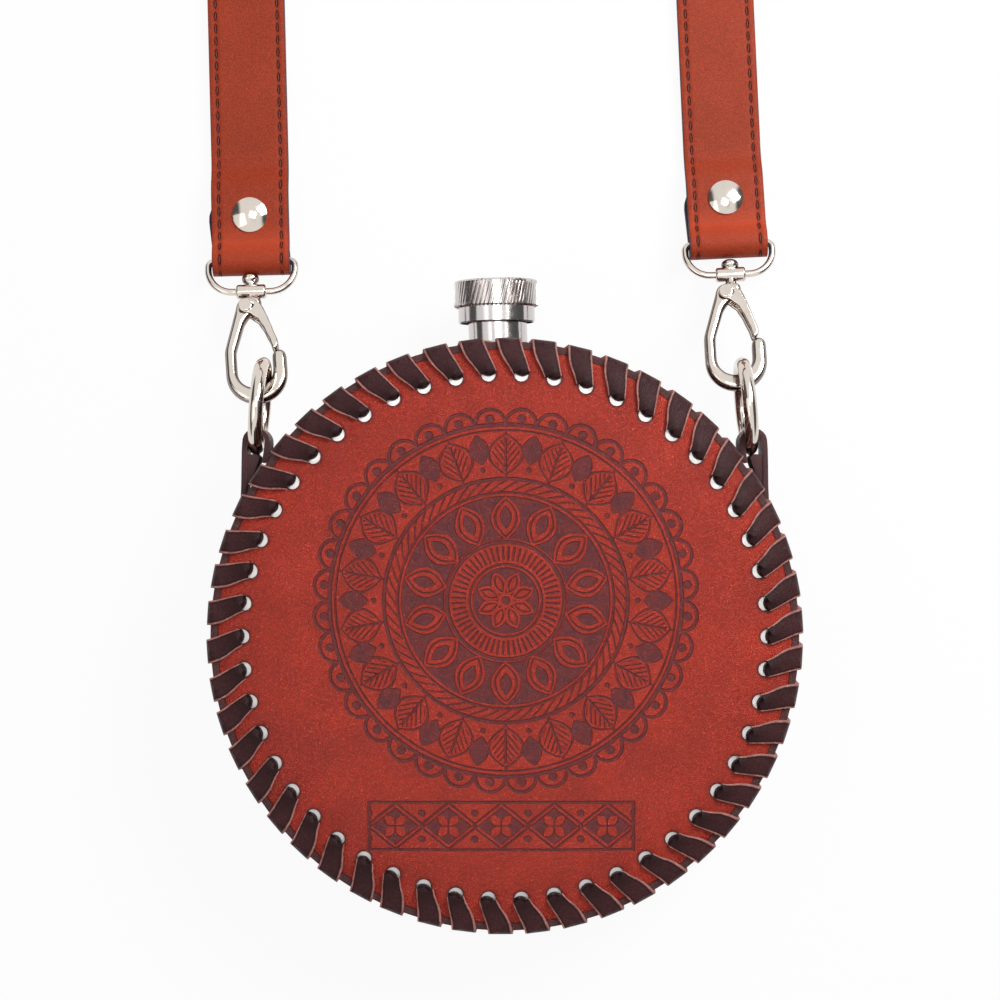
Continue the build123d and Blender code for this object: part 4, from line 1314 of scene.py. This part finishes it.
class FLASK_OT_straps(bpy.types.Operator):
    """Model the two strap ends with their linings and stitching"""

    bl_idname = "flask.straps"
    bl_label = "Strap ends"

    def execute(self, context):
        strap, finish = context.scene.flask_strap, context.scene.flask_finish
        face = strap_leather(strap, finish)
        edge = cut_edge("strap_edge", scaled_colour(finish.lining, 0.8))
        finished = {"grain": 0.6, "depth": 0.0001, "rough": 0.7, "contrast": 0.25}
        under = leather("lining_leather", finish.lining, **finished)[0]
        thread = thread_fibre(finish)
        for name, side in STRAP_SIDES.items():
            upper = strap_ribbon(strap, side, strap.lining / 2)
            seam = stitches(
                f"{name}_seam", upper, strap, thread, strap.tail_corner, upper.track.travelled
            )
            placed(seam, "flask")
            skin = modelled(f"{name}_strap_skin", upper.mesh, [face, edge], turn_out=False)
            thickened(skin, strap.face, 0.0, 0.25 * MM)
            placed(skin, "flask", [f"{name}_strap_face"])
            lower = strap_ribbon(strap, side, -strap.face / 2)
            back = modelled(f"{name}_strap_under", lower.mesh, [under, edge], turn_out=False)
            thickened(back, strap.lining, 0.0, 0.2 * MM)
            placed(back, "flask", [f"{name}_strap_lining"])
        return {"FINISHED"}


TWIST_STEPS = 12


def twisted_places(strap, start, lean, side):
    """Places along a stretch that turns from lying flat to standing on edge."""
    run, width, thickness = strap.twist, strap.width, strap.face + strap.lining
    places = []
    for step in range(1, TWIST_STEPS + 1):
        share = step / TWIST_STEPS
        turn = math.pi / 2 * share
        yaw = lean * (1 - share)
        height = width / 2 * math.sin(turn) + thickness / 2 * math.cos(turn)
        drift = math.tan(lean) * run * share * (1 - share / 2)
        ahead = Vector((-math.sin(yaw), math.cos(yaw), 0))
        flat = Vector((ahead.y, -ahead.x, 0))
        across = flat * math.cos(turn) - Vector((0, 0, side * math.sin(turn)))
        up = across.cross(ahead)
        place = Matrix((ahead, up, across)).transposed().to_4x4()
        place.translation = (start.x - drift, start.y + run * share, height)
        places.append(place)
    return places


def far_end(strap, side):
    """Where a strap end stops, on the table."""
    tilt = math.radians(side["tilt"])
    x = side["x"] * MM - strap.run * math.sin(tilt)
    return Vector((x, side["y"] * MM + strap.run * math.cos(tilt), 0))


def roll_ribbon(strap):
    """The rest of the strap: up on edge, rolled in and out again, and down to the other end."""
    left, right = STRAP_SIDES["left"], STRAP_SIDES["right"]
    thickness = strap.face + strap.lining
    run, radius, bend = strap.twist, strap.roll_radius, strap.roll_bend
    start, goal = far_end(strap, left), far_end(strap, right)
    first = strap_plane(left)
    first.translation = start + Vector((0, 0, thickness / 2))
    ribbon = Ribbon(first, strap.width, 8)
    lean = math.radians(left["tilt"])
    for place in twisted_places(strap, start, lean, 1):
        ribbon.track.travelled += run / TWIST_STEPS
        ribbon.carry(place)
    ribbon.track.place = ribbon.row_place.copy()
    side = -1 if ribbon.row_place.col[1].x > 0 else 1
    left_x = start.x - math.tan(lean) * run / 2
    right_x = goal.x - math.tan(math.radians(right["tilt"])) * run / 2
    step = thickness + strap.roll_gap
    centre_x = left_x + radius
    centre_y = goal.y + run + bend + radius
    heart = (2 * radius - 5 * step) / 4
    ribbon.run(centre_y - start.y - run, 8)
    for layer in range(3):
        ribbon.turn(radius - layer * step, -180 * side, 26)
    ribbon.turn(heart, -180 * side, 18)
    ribbon.turn(heart, 180 * side, 18)
    for layer in (2, 1):
        ribbon.turn(radius - layer * step, 180 * side, 26)
    ribbon.turn(radius, 90 * side, 13)
    ribbon.run(right_x - bend - centre_x - step, 6)
    ribbon.turn(bend, -90 * side, 12)
    lean = math.radians(right["tilt"])
    ahead = twisted_places(strap, goal, lean, -1)
    last = strap_plane(right)
    last.translation = goal + Vector((0, 0, thickness / 2))
    turned = Matrix.Rotation(math.pi, 4, "Y")
    for place in list(reversed(ahead[:-1])) + [last]:
        ribbon.track.travelled += run / TWIST_STEPS
        ribbon.carry(place @ turned)
    return ribbon


class FLASK_OT_roll(bpy.types.Operator):
    """Model the rolled rest of the strap"""

    bl_idname = "flask.roll"
    bl_label = "Rolled strap"

    def execute(self, context):
        strap, finish = context.scene.flask_strap, context.scene.flask_finish
        face = bpy.data.materials.get("stitched_leather") or strap_leather(strap, finish)
        edge = bpy.data.materials.get("strap_edge") or cut_edge("strap_edge", finish.lining)
        thread = bpy.data.materials.get("thread") or thread_fibre(finish)
        ribbon = roll_ribbon(strap)
        seam = stitches("roll_seam", ribbon, strap, thread, 0.0, ribbon.track.travelled)
        placed(seam, "flask")
        roll = modelled("strap_roll", ribbon.mesh, [face, edge], turn_out=False)
        thickened(roll, strap.face + strap.lining - 0.1 * MM, 0.0, 0.3 * MM)
        placed(roll, "flask", ["rolled_strap"])
        return {"FINISHED"}


def knurled_head(body, cap):
    """The head: a ridged wall that leans as it rises, chamfered at both ends and closed."""
    base = cap.top - cap.head_height
    corners = 4
    segments = cap.ridges * corners
    made = bmesh.ops.create_circle(body, cap_ends=False, segments=segments, radius=cap.head_radius)
    ring = made["verts"]
    for index, vertex in enumerate(ring):
        if index % corners >= corners / 2:
            vertex.co *= 1 - cap.groove / cap.head_radius
    bmesh.ops.translate(body, verts=ring, vec=(0, 0, base))
    edges = edges_between(body.edges, ring)
    inner = (cap.head_radius - cap.chamfer) / cap.head_radius
    lip = cap.chamfer * 0.6
    made = bmesh.ops.extrude_edge_only(body, edges=edges)["geom"]
    foot = vertices_in(made)
    foot_edges = edges_between(made, foot)
    bmesh.ops.scale(body, vec=(inner, inner, 1), verts=foot)
    bmesh.ops.translate(body, verts=ring, vec=(0, 0, lip))
    steps = 6
    rise = (cap.head_height - 2 * lip) / steps
    turn = Matrix.Rotation(cap.slant / steps, 3, "Z")
    for index in range(steps + 1):
        made = bmesh.ops.extrude_edge_only(body, edges=edges)["geom"]
        ring = vertices_in(made)
        edges = edges_between(made, ring)
        if index < steps:
            bmesh.ops.translate(body, verts=ring, vec=(0, 0, rise))
            bmesh.ops.rotate(body, verts=ring, cent=(0, 0, 0), matrix=turn)
        else:
            bmesh.ops.translate(body, verts=ring, vec=(0, 0, lip))
            bmesh.ops.scale(body, vec=(inner, inner, 1), verts=ring)
    for rim in (edges, foot_edges):
        bmesh.ops.contextual_create(body, geom=rim)


def cap_shell(body, cap):
    """The skirt, its bore and the thread inside it."""
    base = cap.top - cap.head_height - cap.skirt_height
    head = cap.top - cap.head_height
    seat = head + 0.6 * MM
    roof = cap.top - cap.top_wall
    edge = 0.2 * MM
    section_line(body, [
        (0.0, seat), (cap.skirt_radius, seat), (cap.skirt_radius, base + edge),
        (cap.skirt_radius - edge, base), (cap.bore_radius, base), (cap.bore_radius, roof), (0.0, roof),
    ])
    spun(body, 96, FINE_MERGE)
    tooth = [(0.15, -0.5), (-0.7, -0.3), (-0.7, 0.3), (0.15, 0.5)]
    low = base + 2.5 * MM
    turns, steps = 1.5, 48
    thread = bmesh.new()
    section_line(thread, [(cap.bore_radius + out * MM, low + up * MM) for out, up in tooth], closed=True)
    bmesh.ops.spin(
        thread, geom=list(thread.verts) + list(thread.edges), cent=(0, 0, 0), axis=(0, 0, 1),
        dvec=(0, 0, cap.pitch / steps), angle=math.tau * turns, steps=int(steps * turns), use_merge=False,
        use_duplicate=False,
    )
    append_mesh(body, thread)


class FLASK_OT_cap(bpy.types.Operator):
    """Model the knurled screw cap"""

    bl_idname = "flask.cap"
    bl_label = "Screw cap"

    def execute(self, context):
        jacket, cap = context.scene.flask_jacket, context.scene.flask_cap
        material = bpy.data.materials["turned_steel"]
        for name, shape, nodes in (("cap_head", knurled_head, ["cap"]), ("cap_skirt", cap_shell, [])):
            body = bmesh.new()
            shape(body, cap)
            bmesh.ops.remove_doubles(body, verts=body.verts, dist=FINE_MERGE)
            bmesh.ops.transform(body, matrix=neck_place(jacket), verts=body.verts)
            placed(modelled(name, body, [material], 30), "screw_cap", nodes)
        return {"FINISHED"}


# Height above the pin, sideways place and half width of the gate's arm, in millimetres.
GATE_SHAPE = (
    (2.4, 0.7, 1.9), (1.2, 0.9, 2.5), (0.0, 1.2, 2.9), (-1.4, 1.9, 2.7), (-2.4, 3.1, 1.85),
    (-4.0, 4.2, 1.3), (-6.8, 5.25, 1.05), (-10.3, 6.3, 0.95), (-14.2, 7.0, 0.85),
)
# Where the plain solid's arm ends, seen from its pin, and half its width at the pin.
GATE_REACH = Vector((7.2, -12.8))
GATE_HALF_WIDTH = 2.2


def clip_joints(side):
    """The pin's place in a hook: Y back along the hook, Z up through the pin."""
    joints = {joint["name"]: joint for joint in frame["record"]["behaviour"]["joints"]}
    back = Vector(joints[f"{side}_hook_swivel"]["axis"]).normalized()
    up = -Vector(joints[f"{side}_gate_swing"]["axis"]).normalized()
    place = Matrix((back.cross(up), back, up)).transposed().to_4x4()
    place.translation = Vector(joints[f"{side}_gate_swing"]["pos_m"])
    return place


def gate_middle(height):
    """Sideways place and half width of the gate's arm at a distance from its pin, in millimetres."""
    if height >= GATE_SHAPE[0][0]:
        return GATE_SHAPE[0][1:]
    for (upper, *before), (lower, *after) in zip(GATE_SHAPE, GATE_SHAPE[1:]):
        if height >= lower:
            share = (upper - height) / (upper - lower)
            share = share * share * (3 - 2 * share) * 0.35 + share * 0.65
            return [start + (end - start) * share for start, end in zip(before, after)]
    return GATE_SHAPE[-1][1:]


def swept_gate(piece, side):
    """Sweep the gate's straight arm into the curve that runs on into the hook's nose."""
    place = clip_joints(side)
    back = place.inverted()
    slant = math.hypot(*GATE_REACH) / -GATE_REACH.y
    for vertex in piece.data.vertices:
        spot = back @ vertex.co / MM
        share = min(max(spot.y / GATE_REACH.y, 0), 1)
        half = (GATE_HALF_WIDTH - share) * slant
        middle, width = gate_middle(spot.y)
        spot.x = middle + (spot.x - GATE_REACH.x * share) * width / half
        vertex.co = place @ (spot * MM)


CASTINGS = {
    "hook": {"body": "snap_hook", "grain": 0.2 * MM, "rounds": 105, "swell": 0.42 * MM},
    "gate": {"body": "gate_lever", "grain": 0.16 * MM, "rounds": 45, "swell": 0.16 * MM},
}


def cast_piece(name, node, material, grain, rounds, swell):
    """A rounded cast form of a plain solid: welded, remeshed finely, smoothed and filled out again."""
    body = bmesh.new()
    body.from_mesh(frame["nodes"][node].data)
    bmesh.ops.remove_doubles(body, verts=body.verts, dist=FINE_MERGE)
    piece = modelled(name, body, [material], turn_out=False)
    skin = piece.modifiers.new("skin", "REMESH")
    skin.mode = "VOXEL"
    skin.voxel_size = grain
    round_off = piece.modifiers.new("round", "SMOOTH")
    round_off.factor = 0.5
    round_off.iterations = rounds
    fill = piece.modifiers.new("fill", "DISPLACE")
    fill.mid_level = 0.0
    fill.strength = swell
    settled(piece, 180)
    # How far each vertex faces sideways: the mask for the nickel's painted side shade.
    turned = piece.data.attributes.new("edge_on", "FLOAT", "POINT")
    for vertex, value in zip(piece.data.vertices, turned.data):
        value.value = 1 - abs(vertex.normal.z)
    return piece


class FLASK_OT_castings(bpy.types.Operator):
    """Model the cast hooks and gates of the two clips"""

    bl_idname = "flask.castings"
    bl_label = "Hooks and gates"

    def execute(self, context):
        material = cast_nickel(context.scene.flask_finish)
        for side in STRAP_SIDES:
            for part, cast in CASTINGS.items():
                node = f"{side}_{part}"
                sizes = (cast["grain"], cast["rounds"], cast["swell"])
                piece = cast_piece(f"{node}_casting", node, material, *sizes)
                if part == "gate":
                    swept_gate(piece, side)
                placed(piece, f"{side}_{cast['body']}", [node])
        return {"FINISHED"}


NICKEL_PARTS = (
    "ring", "swivel_loop", "hook", "gate", "gate_pin", "strap_rivet_cap", "strap_rivet_base",
)


class FLASK_OT_metals(bpy.types.Operator):
    """Give the metal and rubber parts their finishes"""

    bl_idname = "flask.metals"
    bl_label = "Metal finishes"

    def execute(self, context):
        finish = context.scene.flask_finish
        steel = metal("turned_steel", finish.steel, rough=0.1, streak=0.1, turned=True)
        shell = metal("flask_steel", finish.steel, rough=0.3, streak=0.1, turned=False)
        nickel = metal("nickel", finish.nickel, rough=0.07, streak=0.09, turned=False)
        dull = scaled_colour(finish.steel, 0.7)
        spring = metal("spring_steel", dull, rough=0.25, streak=0.1, turned=False)
        chosen = {
            "neck": steel, "flask_front_shell": shell, "flask_back_shell": shell,
            "cap_liner": rubber(finish),
        }
        for side in STRAP_SIDES:
            for part in NICKEL_PARTS:
                chosen[f"{side}_{part}"] = nickel
            chosen[f"{side}_gate_spring"] = spring
        for name, material in chosen.items():
            node = frame["nodes"][name]
            if not node.material_slots:
                node.data.materials.append(material)
            for slot in node.material_slots:
                slot.material = material
        return {"FINISHED"}


# The world as metal shows it: dark beyond these shares to either side, greyer at a seam overhead.
WALL_START, WALL_END = 0.52, 0.68
WALL_SHADE, SEAM_SHADE = 0.9, 0.5
# The world's light on matt stuff, and the share of glow in the floor's white.
EVEN_LIGHT = 0.24
PAPER_GLOW = 0.93


def lit_rays(tree):
    """1 for rays from the camera, a mirror or clear glass."""
    path = added(tree, "ShaderNodeLightPath")
    camera = Signal(tree, path.outputs["Is Camera Ray"])
    glossy = Signal(tree, path.outputs["Is Glossy Ray"])
    through = Signal(tree, path.outputs["Is Transmission Ray"])
    return strongest(camera, glossy, through)


def floor_material():
    """White paper that glows a little to the camera and keeps the shadow."""
    material, tree, shader = new_material("paper")
    shader.inputs["Base Color"].default_value = (0.9, 0.89, 0.92, 1)
    shader.inputs["Roughness"].default_value = 0.9
    shader.inputs["Specular IOR Level"].default_value = 0.0
    glow = added(tree, "ShaderNodeEmission")
    glow.inputs["Color"].default_value = (1, 1, 1, 1)
    mix = added(tree, "ShaderNodeMixShader")
    tree.links.new((lit_rays(tree) * PAPER_GLOW).socket, mix.inputs[0])
    tree.links.new(shader.outputs[0], mix.inputs[1])
    tree.links.new(glow.outputs[0], mix.inputs[2])
    tree.links.new(mix.outputs[0], tree.nodes["Material Output"].inputs["Surface"])
    return material


def studio_world():
    """Soft even light, white to the camera, with dark gaps between the softboxes that metal shows."""
    world = bpy.data.worlds.new("studio")
    world.use_nodes = True
    tree = world.node_tree
    back = tree.nodes["Background"]
    path = added(tree, "ShaderNodeLightPath")
    camera = Signal(tree, path.outputs["Is Camera Ray"])
    glossy = Signal(tree, path.outputs["Is Glossy Ray"])
    source = added(tree, "ShaderNodeTexCoord")
    x, y = flat_parts(tree, source.outputs["Generated"])
    walls = ranged(tree, x.size(), WALL_START, WALL_END, 0.0, WALL_SHADE)
    seam = hypot(x - 0.15, y * 0.5).stroke(0.2, 0.16) * SEAM_SHADE
    mirrored_light = strongest(walls, seam).flipped()
    even = glossy.flipped() * EVEN_LIGHT
    strength = strongest(camera, glossy * mirrored_light, even)
    back.inputs["Color"].default_value = (1, 1, 1, 1)
    tree.links.new(strength.socket, back.inputs["Strength"])
    bpy.context.scene.world = world


FLOOR_GAP = 0.2 * MM
LAMP_TARGET = Vector((0, 0.04, 0))
LAMPS = {
    "key": {"place": (0.36, 0.36, 0.48), "size": 0.34, "power": 3.6},
    "fill": {"place": (-0.65, -0.1, 0.75), "size": 0.7, "power": 1.4},
    "top": {"place": (0.05, 0.2, 1.1), "size": 0.4, "power": 2.2},
}


def lamp(name, place, size, power):
    """A soft square lamp that points at the flask."""
    light = bpy.data.lights.new(name, "AREA")
    light.shape = "SQUARE"
    light.size = size
    light.energy = power
    thing = bpy.data.objects.new(name, light)
    thing.location = place
    thing.rotation_euler = (LAMP_TARGET - Vector(place)).to_track_quat("-Z", "Y").to_euler()
    bpy.context.scene.collection.objects.link(thing)


class FLASK_OT_studio(bpy.types.Operator):
    """Set up the floor, lamps and camera"""

    bl_idname = "flask.studio"
    bl_label = "Studio"

    def execute(self, context):
        studio = context.scene.flask_studio
        body = bmesh.new()
        bmesh.ops.create_grid(body, x_segments=1, y_segments=1, size=studio.floor_size / 2)
        bmesh.ops.translate(body, verts=body.verts, vec=(0, 0, -FLOOR_GAP))
        modelled("floor", body, [floor_material()], turn_out=False)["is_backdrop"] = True
        studio_world()
        for name, values in LAMPS.items():
            lamp(name, **values)
        camera = bpy.data.objects.new("camera", bpy.data.cameras.new("camera"))
        camera.data.lens = studio.lens
        camera.data.sensor_width = 36
        camera.data.clip_start = 0.01
        camera.location = (studio.camera_x, studio.camera_y, studio.camera_height)
        context.scene.collection.objects.link(camera)
        context.scene.camera = camera
        context.scene.view_settings.view_transform = "Standard"
        return {"FINISHED"}


class FLASK_PT_panel(bpy.types.Panel):
    """Buttons for each piece of the flask"""

    bl_idname = "FLASK_PT_panel"
    bl_label = "Laced flask"
    bl_space_type = "VIEW_3D"
    bl_region_type = "UI"
    bl_category = "Flask"

    def draw(self, context):
        for step in STEPS:
            self.layout.operator(step.bl_idname)


STEPS = (
    FLASK_OT_studio,
    FLASK_OT_metals,
    FLASK_OT_panels,
    FLASK_OT_gusset,
    FLASK_OT_lacing,
    FLASK_OT_tabs,
    FLASK_OT_straps,
    FLASK_OT_roll,
    FLASK_OT_cap,
    FLASK_OT_castings,
)
GROUPS = {
    "flask_jacket": JacketSizes,
    "flask_strap": StrapSizes,
    "flask_cap": CapSizes,
    "flask_finish": Finishes,
    "flask_studio": StudioSizes,
}


def register():
    """Add the classes and the scene's settings."""
    for name, group in GROUPS.items():
        bpy.utils.register_class(group)
        setattr(bpy.types.Scene, name, bpy.props.PointerProperty(type=group))
    for step in STEPS:
        bpy.utils.register_class(step)
    bpy.utils.register_class(FLASK_PT_panel)


def unregister():
    """Take the classes and settings away again."""
    bpy.utils.unregister_class(FLASK_PT_panel)
    for step in reversed(STEPS):
        bpy.utils.unregister_class(step)
    for name, group in GROUPS.items():
        delattr(bpy.types.Scene, name)
        bpy.utils.unregister_class(group)


def main():
    """Model every piece."""
    register()
    for step in STEPS:
        package, name = step.bl_idname.split(".")
        getattr(getattr(bpy.ops, package), name)()
    boxes = {"cad": CAD_BOX, "visual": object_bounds()}
    sizes = {name: [list(corner) for corner in box] for name, box in boxes.items()}


if __name__ == "__main__":
    main()
